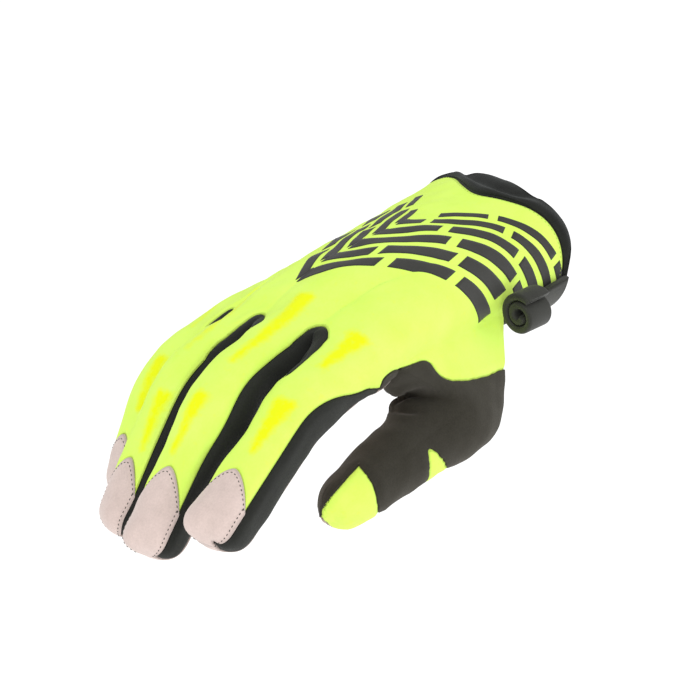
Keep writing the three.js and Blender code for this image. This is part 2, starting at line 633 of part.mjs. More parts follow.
// Closed shell of one panel: outer skin, inner skin set in by the wall, and rims round its edges
function shell(faces, wall) {
  const edges = new Map();
  for (const [a, b, c] of faces) {
    for (const [p, q, r] of [[a, b, c], [b, c, a], [c, a, b]]) {
      const back = `${q} ${p}`;
      if (edges.has(back)) edges.delete(back);
      else edges.set(`${p} ${q}`, [p, q, r]);
    }
  }
  const inward = new Map();
  for (const [p, q, r] of edges.values()) {
    const along = corners[q].clone().sub(corners[p]).normalize();
    const into = corners[r].clone().sub(corners[p]);
    into.addScaledVector(along, -into.dot(along)).normalize();
    [p, q].forEach((k) => {
      if (!inward.has(k)) inward.set(k, new THREE.Vector3());
      inward.get(k).add(into);
    });
  }
  const index = new Map();
  const outer = [];
  const inner = [];
  const slotOf = (k) => {
    if (!index.has(k)) {
      index.set(k, outer.length);
      const p = corners[k].clone();
      const shift = inward.get(k);
      const inside = corners[k].clone().addScaledVector(inwards[k], -wall);
      if (shift && shift.length() > 1e-6) {
        const mitre = Math.min(MITRE_LIMIT, 2 / shift.length());
        shift.normalize();
        p.addScaledVector(shift, SEAM_GAP / 2 * mitre);
        inside.addScaledVector(shift, (SEAM_GAP / 2 + RIM_BEVEL) * mitre);
      }
      outer.push(p);
      inner.push(inside);
    }
    return index.get(k);
  };
  const triangles = [];
  for (const f of faces) triangles.push(f.map(slotOf));
  const count = outer.length;
  const all = [...triangles];
  for (const [a, b, c] of triangles) all.push([a + count, c + count, b + count]);
  for (const [p, q] of edges.values()) {
    const [a, b] = [index.get(p), index.get(q)];
    all.push([b, a, a + count], [b, a + count, b + count]);
  }
  const geometry = new THREE.BufferGeometry();
  const places = [...outer, ...inner].flatMap((p) => [p.x, p.y, p.z]);
  geometry.setAttribute('position', new THREE.Float32BufferAttribute(places, 3));
  geometry.setIndex(all.flat());
  geometry.computeVertexNormals();
  return geometry;
}

// Wrist strap: lies outside the wrist from the far side of the palm to the thumb side
const STRAP_STEPS = 16;
const TAB = { heading: -169.5, sink: 0.7 };
const STRAP = { from: -44, to: -167, start: 0.13, finish: 0.125, narrow: 1.1 };
function wristPoint(at, heading, out) {
  const section = handSection(at);
  const shape = { ...section };
  for (const side of ['half', 'back', 'palm']) shape[side] += out;
  const [y, z] = sectionPoint(shape, heading * RADIANS);
  return new THREE.Vector3(-HAND_LENGTH * at, y, z);
}
function strapGeometry() {
  const lift = STRAP_CLEARANCE + STRAP_THICKNESS;
  const ring = (k) => {
    const t = k / STRAP_STEPS;
    const heading = mix(STRAP.from, STRAP.to, t);
    const middle = mix(STRAP.start, STRAP.finish, smooth(t));
    const half = STRAP_WIDTH / HAND_LENGTH / 2 * mix(1, STRAP.narrow, t);
    return [[-1, STRAP_CLEARANCE], [1, STRAP_CLEARANCE], [1, lift], [0, lift + 0.3], [-1, lift]]
      .map(([side, out]) => wristPoint(middle + side * half, heading, out));
  };
  return loft(rows(STRAP_STEPS, ring));
}

// Solid through a row of closed outlines, with fans over its two ends
function loft(outlines) {
  const count = outlines[0].length;
  const triangles = [];
  outlines.slice(1).forEach((_, r) => {
    for (let k = 0; k < count; k += 1) {
      const [a, b] = [r * count + k, r * count + (k + 1) % count];
      triangles.push([a, b, b + count], [a, b + count, a + count]);
    }
  });
  const end = (outlines.length - 1) * count;
  for (let k = 1; k < count - 1; k += 1) {
    triangles.push([0, k + 1, k], [end, end + k, end + k + 1]);
  }
  const geometry = new THREE.BufferGeometry();
  geometry.setAttribute('position',
    new THREE.Float32BufferAttribute(outlines.flat().flatMap((p) => [p.x, p.y, p.z]), 3));
  geometry.setIndex(triangles.flat());
  geometry.computeVertexNormals();
  return geometry;
}

// Pull tab: the end of the strap rolled up on itself, an extruded spiral
function rollGeometry() {
  const steps = 26;
  const pitch = ROLL_DIAMETER * ROLL_PITCH;
  const thick = pitch - ROLL_GAP;
  const arc = (offset, k) => {
    const angle = 2 * Math.PI * ROLL_TURNS * k / steps;
    const radius = ROLL_DIAMETER / 2 - pitch * angle / (2 * Math.PI) - offset;
    return new THREE.Vector2(radius * Math.cos(angle), radius * Math.sin(angle));
  };
  const outline = [...rows(steps, (k) => arc(0, k)), ...rows(steps, (k) => arc(thick, steps - k))];
  return new THREE.ExtrudeGeometry(new THREE.Shape(outline), { depth: ROLL_WIDTH, bevelEnabled: false });
}

const FINISH = {
  back_panel: { wall: CLOTH, color: 0xe6ff4a, roughness: 0.75 },
  cuff_band: { wall: CUFF_CLOTH, color: 0x39411e, roughness: 0.9 },
  thumb_gusset: { wall: CLOTH, color: 0xe6ff4a, roughness: 0.75 },
  palm_panel: { wall: SUEDE, color: 0xe0cdc5, roughness: 0.95 },
  thumb_tip_panel: { wall: CLOTH, color: 0xe6ff4a, roughness: 0.75 },
};
const BLACK = { wall: STRETCH, color: 0x33332c, roughness: 0.85 };

const glove = new THREE.Group();
for (const [name, faces] of panels) {
  const finish = FINISH[name] ?? BLACK;
  const { color, roughness } = finish;
  const material = new THREE.MeshStandardMaterial({ color, roughness, metalness: 0 });
  const mesh = new THREE.Mesh(shell(faces, finish.wall), material);
  mesh.name = name;
  glove.add(mesh);
}

const addMesh = (name, geometry) => {
  const { color, roughness } = BLACK;
  const material = new THREE.MeshStandardMaterial({ color, roughness, metalness: 0 });
  const mesh = new THREE.Mesh(geometry, material);
  mesh.name = name;
  glove.add(mesh);
  return mesh;
};
addMesh('wrist_strap', strapGeometry());
const tab = addMesh('pull_tab', rollGeometry());
const strapEdge = STRAP.finish * HAND_LENGTH + STRAP_WIDTH / 2 * STRAP.narrow;
const tabStart = (strapEdge + ROLL_CLEARANCE + ROLL_WIDTH) / HAND_LENGTH;
const seat = wristPoint(tabStart, TAB.heading, ROLL_DIAMETER / 2 - TAB.sink);
tab.position.copy(seat);
tab.rotation.set(0, Math.PI / 2, 0);

export default glove;
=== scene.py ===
"""Motocross glove for the right hand, shaped as worn and open at the wrist.

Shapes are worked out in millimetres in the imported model's frame and written to the meshes in metres: X runs
from the fingertips to the wrist, Y from the thumb side to the little finger, Z from the palm to the back.
One smooth surface is made for the whole glove, cut along its seams into panels, and each panel gets a wall.
"""
import logging
import math
from dataclasses import dataclass
from enum import Enum

import bpy
import numpy as np
from mathutils import Matrix, Vector


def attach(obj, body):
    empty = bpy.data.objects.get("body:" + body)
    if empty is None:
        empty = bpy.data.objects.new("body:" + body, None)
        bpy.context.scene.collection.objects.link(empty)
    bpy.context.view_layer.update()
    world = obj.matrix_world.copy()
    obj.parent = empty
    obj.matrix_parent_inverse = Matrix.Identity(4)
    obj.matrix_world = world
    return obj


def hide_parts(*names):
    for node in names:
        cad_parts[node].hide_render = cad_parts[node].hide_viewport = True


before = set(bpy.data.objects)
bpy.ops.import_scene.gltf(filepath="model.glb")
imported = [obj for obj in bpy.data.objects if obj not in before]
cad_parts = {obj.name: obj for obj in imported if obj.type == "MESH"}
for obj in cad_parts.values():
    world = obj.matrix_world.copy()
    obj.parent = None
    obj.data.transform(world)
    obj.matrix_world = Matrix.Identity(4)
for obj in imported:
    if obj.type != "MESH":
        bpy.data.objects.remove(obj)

LOG = logging.getLogger("glove")
METRES = 0.001
FLAT_SCALE = 0.01
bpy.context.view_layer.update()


class Panel(Enum):
    """Cut pieces of the glove's skin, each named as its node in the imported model."""

    BACK = "back_panel"
    PALM = "palm_panel"
    INDEX_SIDE = "index_side_strip"
    INDEX_MIDDLE = "index_middle_fourchette"
    MIDDLE_RING = "middle_ring_fourchette"
    RING_LITTLE = "ring_little_fourchette"
    LITTLE_SIDE = "little_side_strip"
    THUMB = "thumb_panel"
    THUMB_TIP = "thumb_tip_panel"
    GUSSET = "thumb_gusset"
    CUFF = "cuff_band"

    @property
    def number(self) -> int:
        """Place of the panel in the list of panels."""
        return PANELS.index(self)


PANELS = list(Panel)
SIDES = (Panel.INDEX_SIDE, Panel.INDEX_MIDDLE, Panel.MIDDLE_RING, Panel.RING_LITTLE, Panel.LITTLE_SIDE)


@dataclass(frozen=True)
class Sizes:
    """Driving dimensions of the glove in millimetres and degrees."""

    hand_length: float = 106.0
    knuckle_span: float = 65.5
    finger_length: float = 106.0
    finger_width: float = 22.4
    palm_width: float = 92.0
    palm_height: float = 34.0
    slot_setback: float = 17.0
    crotch_depth: float = 9.0
    root_length: float = 16.0
    thumb_length: float = 70.0
    thumb_width: float = 24.0
    thumb_base_width: float = 31.0
    cuff_band: float = 14.0
    palm_seam: float = 128.0
    index_root_seam: float = 112.0
    root_turn: float = 40.0


@dataclass(frozen=True)
class Steps:
    """Grid counts: cells per strip across, and cells per coarse row along."""

    back: int = 28
    side: int = 21
    palm: int = 28
    hand: int = 12
    finger: int = 8
    band: int = 18
    thumb: int = 6


SIZE = Sizes()
STEP = Steps()

HAND_ROWS = (0, 0.08, 0.17, 0.27, 0.4, 0.53, 0.66, 0.79, 0.9, 1)
HOLE_ROWS = (3, 8)
CROTCH_ROW, CAP_ROW, LAST_ROW = 2, 12, 16
WRIST_HEADINGS = (202, -12, -42, -138, -158)
RIM_BUMPS = ((0.18, 95, 60), (0.21, 155, 34))
TIP_GAP = 0.15
KEY_SHIFT, KEY_SCALE = 0.00123, 500
FAR = 9.0
ANYWHERE = (-300.0, 300.0)


def smooth(x: np.ndarray) -> np.ndarray:
    """Ease from 0 to 1 with level ends."""
    t = np.clip(x, 0.0, 1.0)
    return t * t * (3 - 2 * t)


def mix(a: np.ndarray, b: np.ndarray, t: np.ndarray) -> np.ndarray:
    """Straight blend from a to b."""
    return a + (b - a) * t


def signed(x: np.ndarray, power: float) -> np.ndarray:
    """Power of the size of x, with the sign of x kept."""
    return np.sign(x) * np.abs(x) ** power


def dot(a: np.ndarray, b: np.ndarray) -> np.ndarray:
    """Dot product over the last axis, kept as a column."""
    return (a * b).sum(-1, keepdims=True)


def unit(a: np.ndarray) -> np.ndarray:
    """Vectors scaled to length 1."""
    return a / np.maximum(np.linalg.norm(a, axis=-1, keepdims=True), 1e-12)


def wrap(angle: np.ndarray) -> np.ndarray:
    """The same angles between -180 and 180 degrees."""
    return (angle + 180) % 360 - 180


def cubic(t: np.ndarray, start: np.ndarray, leave: np.ndarray, finish: np.ndarray,
          arrive: np.ndarray) -> np.ndarray:
    """Cubic curve between two places, with a given slope at each."""
    u, w = t * t, t * t * t
    return ((2 * w - 3 * u + 1) * start + (w - 2 * u + t) * leave + (3 * u - 2 * w) * finish
            + (w - u) * arrive)


def blunt(s: np.ndarray, length: float, reach: float) -> tuple[np.ndarray, np.ndarray]:
    """Shares of an oval's width and height that are left as it closes on a blunt tip."""
    q = np.clip((s - length + reach) / reach, 0, 1)
    return (1 - 0.2 * q * q) * np.sqrt(np.maximum(0, 1 - 0.86 * q ** 6)), np.sqrt(1 - q * q)


def gather(places: np.ndarray, values: np.ndarray, size: int) -> np.ndarray:
    """Rows of values summed at the place that each belongs to."""
    return np.stack([np.bincount(places, column, size) for column in values.T], axis=1)


def edges_of(faces: np.ndarray) -> np.ndarray:
    """The three edges of every triangle, each with its lower point number first."""
    return np.sort(np.concatenate([faces[:, [0, 1]], faces[:, [1, 2]], faces[:, [2, 0]]]), axis=1)


def crossed(points: np.ndarray, faces: np.ndarray) -> np.ndarray:
    """Normal of every triangle, as long as twice its area."""
    a, b, c = (points[faces[:, k]] for k in range(3))
    return np.cross(b - a, c - a)


def halves(a: np.ndarray, b: np.ndarray, c: np.ndarray, d: np.ndarray) -> np.ndarray:
    """Two triangles for each set of four corners."""
    a, b, c, d = (np.ravel(corner) for corner in (a, b, c, d))
    return np.concatenate([np.stack([a, b, c], axis=1), np.stack([a, c, d], axis=1)])


def outward(points: np.ndarray, faces: np.ndarray) -> np.ndarray:
    """Triangles of closed solids, turned to face out of them."""
    volume = dot(points[faces[:, 0]] - points.mean(axis=0), crossed(points, faces)).sum()
    return faces if volume > 0 else faces[:, ::-1]


class Eye:
    """Where the glove is looked at from: its axes, its distance and its picture's scale."""

    azimuth, elevation = math.radians(-48.7), math.radians(22.0)
    toward = np.array([math.sin(azimuth) * math.cos(elevation), -math.cos(azimuth) * math.cos(elevation),
                       math.sin(elevation)])
    right = np.array([math.cos(azimuth), math.sin(azimuth), 0])
    up = np.cross(toward, right)
    distance = 1070.0
    scale = 2.70
    middle = (494.3, 236.0)

    @classmethod
    def picture(cls, points: np.ndarray) -> np.ndarray:
        """Places of points in the picture, as columns across and down."""
        scale = cls.scale / (1 - points @ cls.toward / cls.distance)
        return np.stack([cls.middle[0] + scale * (points @ cls.right),
                         cls.middle[1] - scale * (points @ cls.up)], axis=-1)

    @staticmethod
    def within(places: np.ndarray, outline: tuple[tuple[float, float], ...]) -> np.ndarray:
        """Mask of the places inside a closed outline, by counting the sides that a level line crosses."""
        corners = np.array(outline)
        inside = np.zeros(len(places), bool)
        for (x0, y0), (x1, y1) in zip(corners, np.roll(corners, -1, axis=0)):
            spans = (y0 > places[:, 1]) != (y1 > places[:, 1])
            reach = x0 + (x1 - x0) * (places[:, 1] - y0) / ((y1 - y0) or 1e-9)
            inside ^= spans & (places[:, 0] < reach)
        return inside


class Table:
    """A short table of sizes, eased between its rows by cubic curves through them."""

    def __init__(self, columns: str, *rows: tuple[float, ...]) -> None:
        """Keep the rows.

        Args:
            columns: Names of the columns, the first being where a row stands.
            rows: One tuple of numbers for each row.
        """
        data = np.array(rows, float)
        self.place = data[:, 0]
        self.values = {name: data[:, k] for k, name in enumerate(columns.split())}

    def at(self, column: str, x: np.ndarray) -> np.ndarray:
        """Value of a column at x.

        Args:
            column: Name of the column.
            x: Places along the table.

        Returns:
            The eased values.
        """
        place, value = self.place, self.values[column]
        k = np.searchsorted(place[1:-1], x, side="left")
        before, after = np.maximum(k - 1, 0), np.minimum(k + 2, len(place) - 1)
        span = place[k + 1] - place[k]
        leave = (value[k + 1] - value[before]) / (place[k + 1] - place[before]) * span
        arrive = (value[after] - value[k]) / (place[after] - place[k]) * span
        return cubic((x - place[k]) / span, value[k], leave, value[k + 1], arrive)


@dataclass(frozen=True)
class Region:
    """Part of the skin where a seam is redrawn: limits on a face's place and on how it faces the eye."""

    toward: float = 0.0
    x: tuple[float, float] = ANYWHERE
    y: tuple[float, float] = ANYWHERE
    z: tuple[float, float] = ANYWHERE

    def mask(self, middle: np.ndarray, toward: np.ndarray) -> np.ndarray:
        """Mask of the faces within the limits.

        Args:
            middle: Middles of the faces.
            toward: Cosine between each face's normal and the way to the eye.

        Returns:
            The mask.
        """
        inside = toward > self.toward
        for place, (low, high) in zip(middle.T, (self.x, self.y, self.z)):
            inside &= (place > low) & (place < high)
        return inside


FINGER_GIRTH = Table("at girth", (0, 1.04), (0.3, 1.0), (0.55, 0.97), (0.8, 0.94), (1, 0.92))
HAND_SECTIONS = Table(
    "at width back palm shift lift arch tilt power",
    (0.0, 0.76, 0.65, 0.72, 0.0, 0.0, 0.0, 0.0, 2.3),
    (0.15, 0.74, 0.61, 0.7, 0.0, 0.0, 0.0, 0.02, 2.3),
    (0.4, 0.79, 0.6, 0.66, -0.01, 0.0, 0.1, 0.12, 2.3),
    (0.7, 0.9, 0.52, 0.55, -0.02, 0.0, 0.22, 0.2, 2.3),
    (1.0, 0.97, 0.44, 0.38, -0.025, -0.005, 0.3, 0.22, 2.4),
)
BAND_WIDTHS = Table(
    "at width", (-180, 0.12), (-130, 0.14), (-90, 0.4), (-20, 0.3), (40, 0.14), (75, 0.75), (100, 1.0),
    (122, 0.72), (140, 0.38), (155, 0.2), (180, 0.12),
)
THUMB_GIRTH = Table(
    "at girth swell", (0, 1.0, 0.08), (0.35, 0.9, 0.3), (0.55, 0.87, 0.26), (0.75, 0.86, 0.06), (1, 0.8, 0),
)
THUMB_SEAMS = Table(
    "at root tip", (-220, 0.4, 0.8), (-150, 0.5, 0.78), (-45, 0.12, 0.77), (20, 0.12, 0.76),
    (45, 0.14, 0.75), (64, 0.15, 0.75), (76, 0.46, 0.76), (107, 0.4, 0.78), (140, 0.4, 0.8),
)

SLOT_ENDS = ((Panel.RING_LITTLE, (-112.1, 25.3, -0.4), (-123.5, 27.0, -4.8), 1.5),)
SLOT_OUTLINES = (
    (Panel.INDEX_MIDDLE, Region(x=(-150, -106), y=(-37, -13)), (
        (293.8, 342), (303, 333.5), (309.4, 328), (316.3, 324.6), (322, 324.4), (326, 327.2), (327.4, 332),
        (326.2, 337.5), (321.3, 344), (314, 351), (306, 358), (294.5, 368), (289.5, 372.2), (284.5, 375.8),
        (277, 372), (284, 356))),
    (Panel.MIDDLE_RING, Region(x=(-150, -106), y=(-9, 15)), (
        (204, 361), (209, 352), (215.4, 344.6), (224.8, 336.8), (234.2, 329), (243.6, 321),
        (251.4, 314.9), (257.7, 312.4), (262, 312.5), (264, 315), (262.5, 318.5), (257.7, 323),
        (248.3, 329.5), (238.9, 336.5), (229.5, 343.5), (220, 349.5), (212.5, 356), (207, 362.5))),
)
UNDERSIDE = (
    Region(-0.2, x=(-182, -138), y=(-300, -38)),
    Region(-0.2, x=(-300, -182), y=(-300, -46)),
    Region(-0.2, x=(-138, -116), y=(-300, -38), z=(-22, 300)),
)
UNDERSIDE_TILT = -0.3
ROOT = Region(-0.1, x=(-119, 300), y=(-300, -28))
ROOT_FRAME = ((352, 340), (900, 340), (900, 402), (352, 402))
WEB_START = 380
TIP = Region(-0.3, x=(-145, -112), y=(-300, -30), z=(-300, -22))
TIP_CORE, TIP_ROUND = 4.0, 5.5
SHAFT = Region(0.0, x=(-112, -70), z=(-300, -24))
ROOT_LINE = ((352, 396.5), (366, 390), (381, 389.5), (383, 382), (386, 377.4), (393, 372.3), (410, 366),
             (423, 361), (427, 360.5), (431, 363), (436, 371), (443, 378), (454, 381.5), (470, 380.5),
             (484, 377.5), (497, 373), (503, 370), (520, 364), (520, 300), (352, 300))
TIP_OUTLINE = ((358.5, 465), (366, 473), (372, 482), (376, 491), (378, 500), (379, 507), (379.5, 530),
               (350, 560), (300, 560), (310, 535), (316, 524), (319.5, 517.8), (322.1, 509.7),
               (325.2, 503.6), (330.2, 497.6), (338.3, 487.5), (348.4, 475.4))
GUSSET_OUTLINE = ((429, 447.5), (433, 449), (438, 452.5), (444, 459), (447, 465), (449, 471), (453, 490),
                  (430, 520), (405, 515), (414, 498), (420, 491), (425, 485), (428.5, 478), (430, 470),
                  (429.8, 462), (428.3, 453))
PUSHES = (
    ((-87.0, -34.0, -28.0), (-1.3, 1.5, 0.0), 9.0),
    ((-92.0, -36.0, -16.0), (-1.6, 0.3, -3.4), 7.0),
    ((-86.5, -32.0, -25.5), (-3.2, 1.2, 0.4), 5.0),
    ((-104.0, -40.0, -13.0), (0.0, 0.0, -3.4), 8.0),
    ((-134.0, -44.5, -48.0), (-3.0, 1.0, -0.8), 7.0),
    ((-126.0, -42.0, -35.5), (1.0, -0.6, -0.6), 7.0),
    ((-190.2, -38.5, -31.5), (-2.6, 0.8, 0.2), 6.0),
    ((-195.0, -12.5, -43.5), (-2.2, 0.6, -0.5), 6.0),
    ((-180.2, 13.5, -51.5), (-1.8, 0.8, -0.4), 6.0),
    ((-157.0, -24.8, -14.0), (0.0, -3.6, -0.8), 11.0),
)


@dataclass
class Finger:
    """One finger: its centre line, its girth and the seams along it.

    The centre line is summed from a slope that turns smoothly at each joint. Lengths are shares of the
    driving dimensions, angles round the finger count from its back, and the thumb side is positive.
    """

    name: str
    back: float
    across: float
    rise: float
    first: float
    rest: float
    width: float
    spread: float
    seams: tuple[float, float]
    bends: tuple[float, float, float]
    slot: float
    cap: float
    cap_side: float
    reach: float = SIZE.finger_width * 0.6
    round_end: float = SIZE.finger_width * 0.42
    joint: float = 0.46
    flat: float = 0.94
    power: float = 0.88
    arch_power: float = 1.35
    step: float = 0.25

    def __post_init__(self) -> None:
        """Sum the centre line and fix the finger's plain directions."""
        turn = math.radians(self.spread)
        self.ahead = np.array([-math.cos(turn), -math.sin(turn), 0.0])
        self.radial = np.array([math.sin(turn), -math.cos(turn), 0.0])
        self.length = SIZE.finger_length * (self.first + self.rest)
        self.start = SIZE.slot_setback * self.slot
        knuckle = np.array([-SIZE.hand_length * self.back, SIZE.knuckle_span * self.across,
                            SIZE.knuckle_span * self.rise])
        self.stations = np.arange(0, self.length + 20, self.step)
        moves = self.tangent(self.stations[:-1] + self.step / 2) * self.step
        self.line = knuckle + np.vstack([np.zeros(3), np.cumsum(moves, axis=0)])

    def slope(self, s: np.ndarray) -> np.ndarray:
        """Angle below level at a distance s along the finger, as a column."""
        first = SIZE.finger_length * self.first
        second = first + SIZE.finger_length * self.rest * self.joint
        one, two = (smooth((s - joint) / (2 * self.reach) + 0.5) for joint in (first, second))
        return np.radians(self.bends[0] + self.bends[1] * one + self.bends[2] * two)[..., None]

    def tangent(self, s: np.ndarray) -> np.ndarray:
        """Direction towards the tip."""
        a = self.slope(s)
        return self.ahead * np.cos(a) - np.array([0, 0, 1.0]) * np.sin(a)

    def upward(self, s: np.ndarray) -> np.ndarray:
        """Direction out of the finger's back."""
        a = self.slope(s)
        return self.ahead * np.sin(a) + np.array([0, 0, 1.0]) * np.cos(a)

    def centre(self, s: np.ndarray) -> np.ndarray:
        """Point on the centre line."""
        return np.stack([np.interp(s, self.stations, self.line[:, k]) for k in range(3)], axis=-1)

    def offset(self, s: np.ndarray, angle: np.ndarray) -> tuple[np.ndarray, np.ndarray]:
        """Place on the finger's skin: a squared-off oval that rounds to a blunt end at the tip.

        Args:
            s: Distance along the finger.
            angle: Angle round it in degrees.

        Returns:
            Columns of the distance to the thumb side and of the height above the centre line.
        """
        half = SIZE.finger_width * self.width / 2 * FINGER_GIRTH.at("girth", np.minimum(1, s / self.length))
        wide, high = blunt(s, self.length, self.round_end)
        a = np.radians(angle)
        return ((half * wide * signed(np.sin(a), self.power))[..., None],
                (half * self.flat * high * signed(np.cos(a), self.power))[..., None])

    def skin(self, s: np.ndarray, angle: np.ndarray) -> np.ndarray:
        """Point on the finger's skin."""
        across, rise = self.offset(s, angle)
        return self.centre(s) + self.radial * across + self.upward(s) * rise

    def back_seam(self, side: int, s: np.ndarray) -> np.ndarray:
        """Angle of the back seam; on the thumb side of the index it starts low and climbs."""
        seam = self.seams[0 if side > 0 else 1]
        if self.name != "index" or side < 0:
            return np.full(np.shape(s), float(seam))
        return mix(SIZE.index_root_seam, seam, smooth((s - self.start) / (SIZE.finger_length * 0.36)))

    def station(self, row: np.ndarray, across: np.ndarray) -> np.ndarray:
        """Distance along the finger of a row; rows bunch to the pointed arch of the tip cap.

        Args:
            row: Row number from 0 at the root to LAST_ROW at the tip.
            across: Place across the back, from 1 at the thumb side to -1.

        Returns:
            Distances along the finger.
        """
        arch = self.length * (1 - mix(self.cap, self.cap_side, np.abs(across) ** self.arch_power))
        crotch = self.start + SIZE.crotch_depth
        root = mix(self.start, crotch, row / CROTCH_ROW)
        body = mix(crotch, arch, (row - CROTCH_ROW) / (CAP_ROW - CROTCH_ROW))
        cap = mix(arch, self.length - TIP_GAP, (row - CAP_ROW) / (LAST_ROW - CAP_ROW))
        return np.where(row <= CROTCH_ROW, root, np.where(row <= CAP_ROW, body, cap))


FINGERS = (
    Finger("index", 0.952, -0.53, 0.01, 0.415, 0.512, 1.02, 6, (60, 58), (11, 23, 0), 0.72, 0.24, 0.12),
    Finger("middle", 1.004, -0.147, 0.055, 0.465, 0.538, 0.95, 5.5, (58, 56), (12, 38, -3), 0.78, 0.27,
           0.14),
    Finger("ring", 0.945, 0.17, 0.025, 0.43, 0.545, 0.87, -3, (44, 58), (17, 37, 3), 1.25, 0.25, 0.14),
    Finger("little", 0.88, 0.475, -0.12, 0.382, 0.45, 0.85, -9.4, (44, 60), (20, 41, 9), 1.35, 0.27, 0.15),
)
BACK_PART = 4 * STEP.back
PALM_PART = BACK_PART + STEP.side
SIDE_PART = PALM_PART + 4 * STEP.palm
RING = SIDE_PART + STEP.side


class Hand:
    """Grid of the hand: oval sections from the cuff that run into the ring of finger roots."""

    upright = 1.6
    turn_power = 1.5
    blend_from = 0.55
    swell, swell_run = 0.015, 0.8

    def __init__(self) -> None:
        """Work out the ring of finger roots and the rows of the hand."""
        self.end, self.slope = self.root_ring()
        self.heading = self.column_headings()
        knots = np.arange(len(HAND_ROWS))
        self.at = np.interp(np.arange(STEP.hand * knots[-1] + 1) / STEP.hand, knots, HAND_ROWS)
        self.grid = self.points(self.at)

    @staticmethod
    def root_ring() -> tuple[np.ndarray, np.ndarray]:
        """Ring of points where the fingers start; neighbours' edges meet at their middle.

        Returns:
            Points of the ring and the way the surface runs through them.
        """
        points, ways = [], []
        edges = []
        for part, order in (("back", (0, 1, 2, 3)), ("palm", (3, 2, 1, 0))):
            count = getattr(STEP, part)
            share = np.arange(count + 1) / count
            for i in order:
                finger = FINGERS[i]
                first, final = i == order[0], i == order[-1]
                if part == "back":
                    low = SIZE.index_root_seam if first else SIZE.root_turn
                    high = FINGERS[3].seams[1] if final else SIZE.root_turn
                    angle = mix(low, -high, share)
                else:
                    low = SIZE.palm_seam if first else 180 - SIZE.root_turn
                    high = SIZE.palm_seam if final else 180 - SIZE.root_turn
                    angle = -mix(low, 360 - high, share)
                s = np.full(angle.shape, finger.start)
                way = finger.tangent(s)
                edges.append((finger.skin(s, angle), way / -way[:, :1]))
            for k in range(len(edges) - 4, len(edges)):
                pair, slope = edges[k][0].copy(), edges[k][1].copy()
                meets = ((k - 1, 0, -1, 1 - 2 * share), (k + 1, -1, 0, 2 * share - 1))
                for other, mine, theirs, fade in meets:
                    if len(edges) - 4 <= other < len(edges):
                        weight = smooth(fade)[:, None] / 2
                        pair += weight * (edges[other][0][theirs] - edges[k][0][mine])
                        slope += weight * (edges[other][1][theirs] - edges[k][1][mine])
                points.append(pair[:-1])
                ways.append(slope[:-1])
            finger, turn = (FINGERS[3], -1) if part == "back" else (FINGERS[0], 1)
            low = FINGERS[3].seams[1] if part == "back" else SIZE.palm_seam
            high = SIZE.palm_seam if part == "back" else SIZE.index_root_seam
            angle = turn * mix(low, high, np.arange(STEP.side) / STEP.side)
            s = np.full(angle.shape, finger.start)
            way = finger.tangent(s)
            points.append(finger.skin(s, angle))
            ways.append(way / -way[:, :1])
        return np.vstack(points), np.vstack(ways)

    def column_headings(self) -> np.ndarray:
        """Heading of each column at the finger roots, running down without a jump."""
        last = self.section(np.array([1.0]))
        share = np.clip((self.end[:, 1] - last["y"]) / last["half"], -1, 1)
        rise = self.end[:, 2] - last["z"] + last["arch"] * share * share + last["tilt"] * share
        heading = np.degrees(np.unwrap(np.arctan2(rise * self.upright, self.end[:, 1] - last["y"])))
        return heading + 360 * (heading[0] < 90)

    @staticmethod
    def section(at: np.ndarray) -> dict[str, np.ndarray]:
        """Sizes of the oval section at a share of the hand's length."""
        width, height = SIZE.palm_width, SIZE.palm_height
        scale = {"half": ("width", width / 2), "back": ("back", height), "palm": ("palm", height),
                 "y": ("shift", width), "z": ("lift", width), "arch": ("arch", height),
                 "tilt": ("tilt", height), "power": ("power", 1.0)}
        return {key: HAND_SECTIONS.at(column, at) * size for key, (column, size) in scale.items()}

    @staticmethod
    def oval(part: dict[str, np.ndarray], heading: np.ndarray) -> tuple[np.ndarray, np.ndarray]:
        """Y and Z on an oval with its own height above and below, bent by the arch and the tilt."""
        c, v = np.cos(np.radians(heading)), np.sin(np.radians(heading))
        high = np.where(v > 0, part["back"], part["palm"])
        sum_of = (np.abs(c) / part["half"]) ** part["power"] + (np.abs(v) / high) ** part["power"]
        r = sum_of ** (-1 / part["power"])
        share = r * c / part["half"]
        return part["y"] + r * c, part["z"] + r * v - part["arch"] * share * share - part["tilt"] * share

    @staticmethod
    def wrist_heading(column: np.ndarray) -> np.ndarray:
        """Heading of a column at the wrist."""
        return np.interp(column, (0, BACK_PART, PALM_PART, SIDE_PART, RING), WRIST_HEADINGS)

    def band_edge(self, column: np.ndarray) -> np.ndarray:
        """X of the seam between the cuff band and the hand."""
        return -SIZE.cuff_band * BAND_WIDTHS.at("width", wrap(self.wrist_heading(column)))

    def points(self, at: np.ndarray) -> np.ndarray:
        """Points of the hand at shares of its length, one row each."""
        column = np.arange(RING)
        share = at[:, None]
        x = mix(self.band_edge(column)[None], self.end[None, :, 0], share)
        wrist = self.wrist_heading(column)[None]
        heading = mix(wrist, self.heading[None], smooth(share) ** self.turn_power)
        part = {key: value[:, None] for key, value in self.section(at).items()}
        y, z = self.oval(part, heading)
        root = self.end[None] + self.slope[None] * (self.end[None, :, :1] - x[..., None])
        blend = smooth((share - self.blend_from) / (1 - self.blend_from))
        return np.stack([x, mix(y, root[..., 1], blend), mix(z, root[..., 2], blend)], axis=-1)

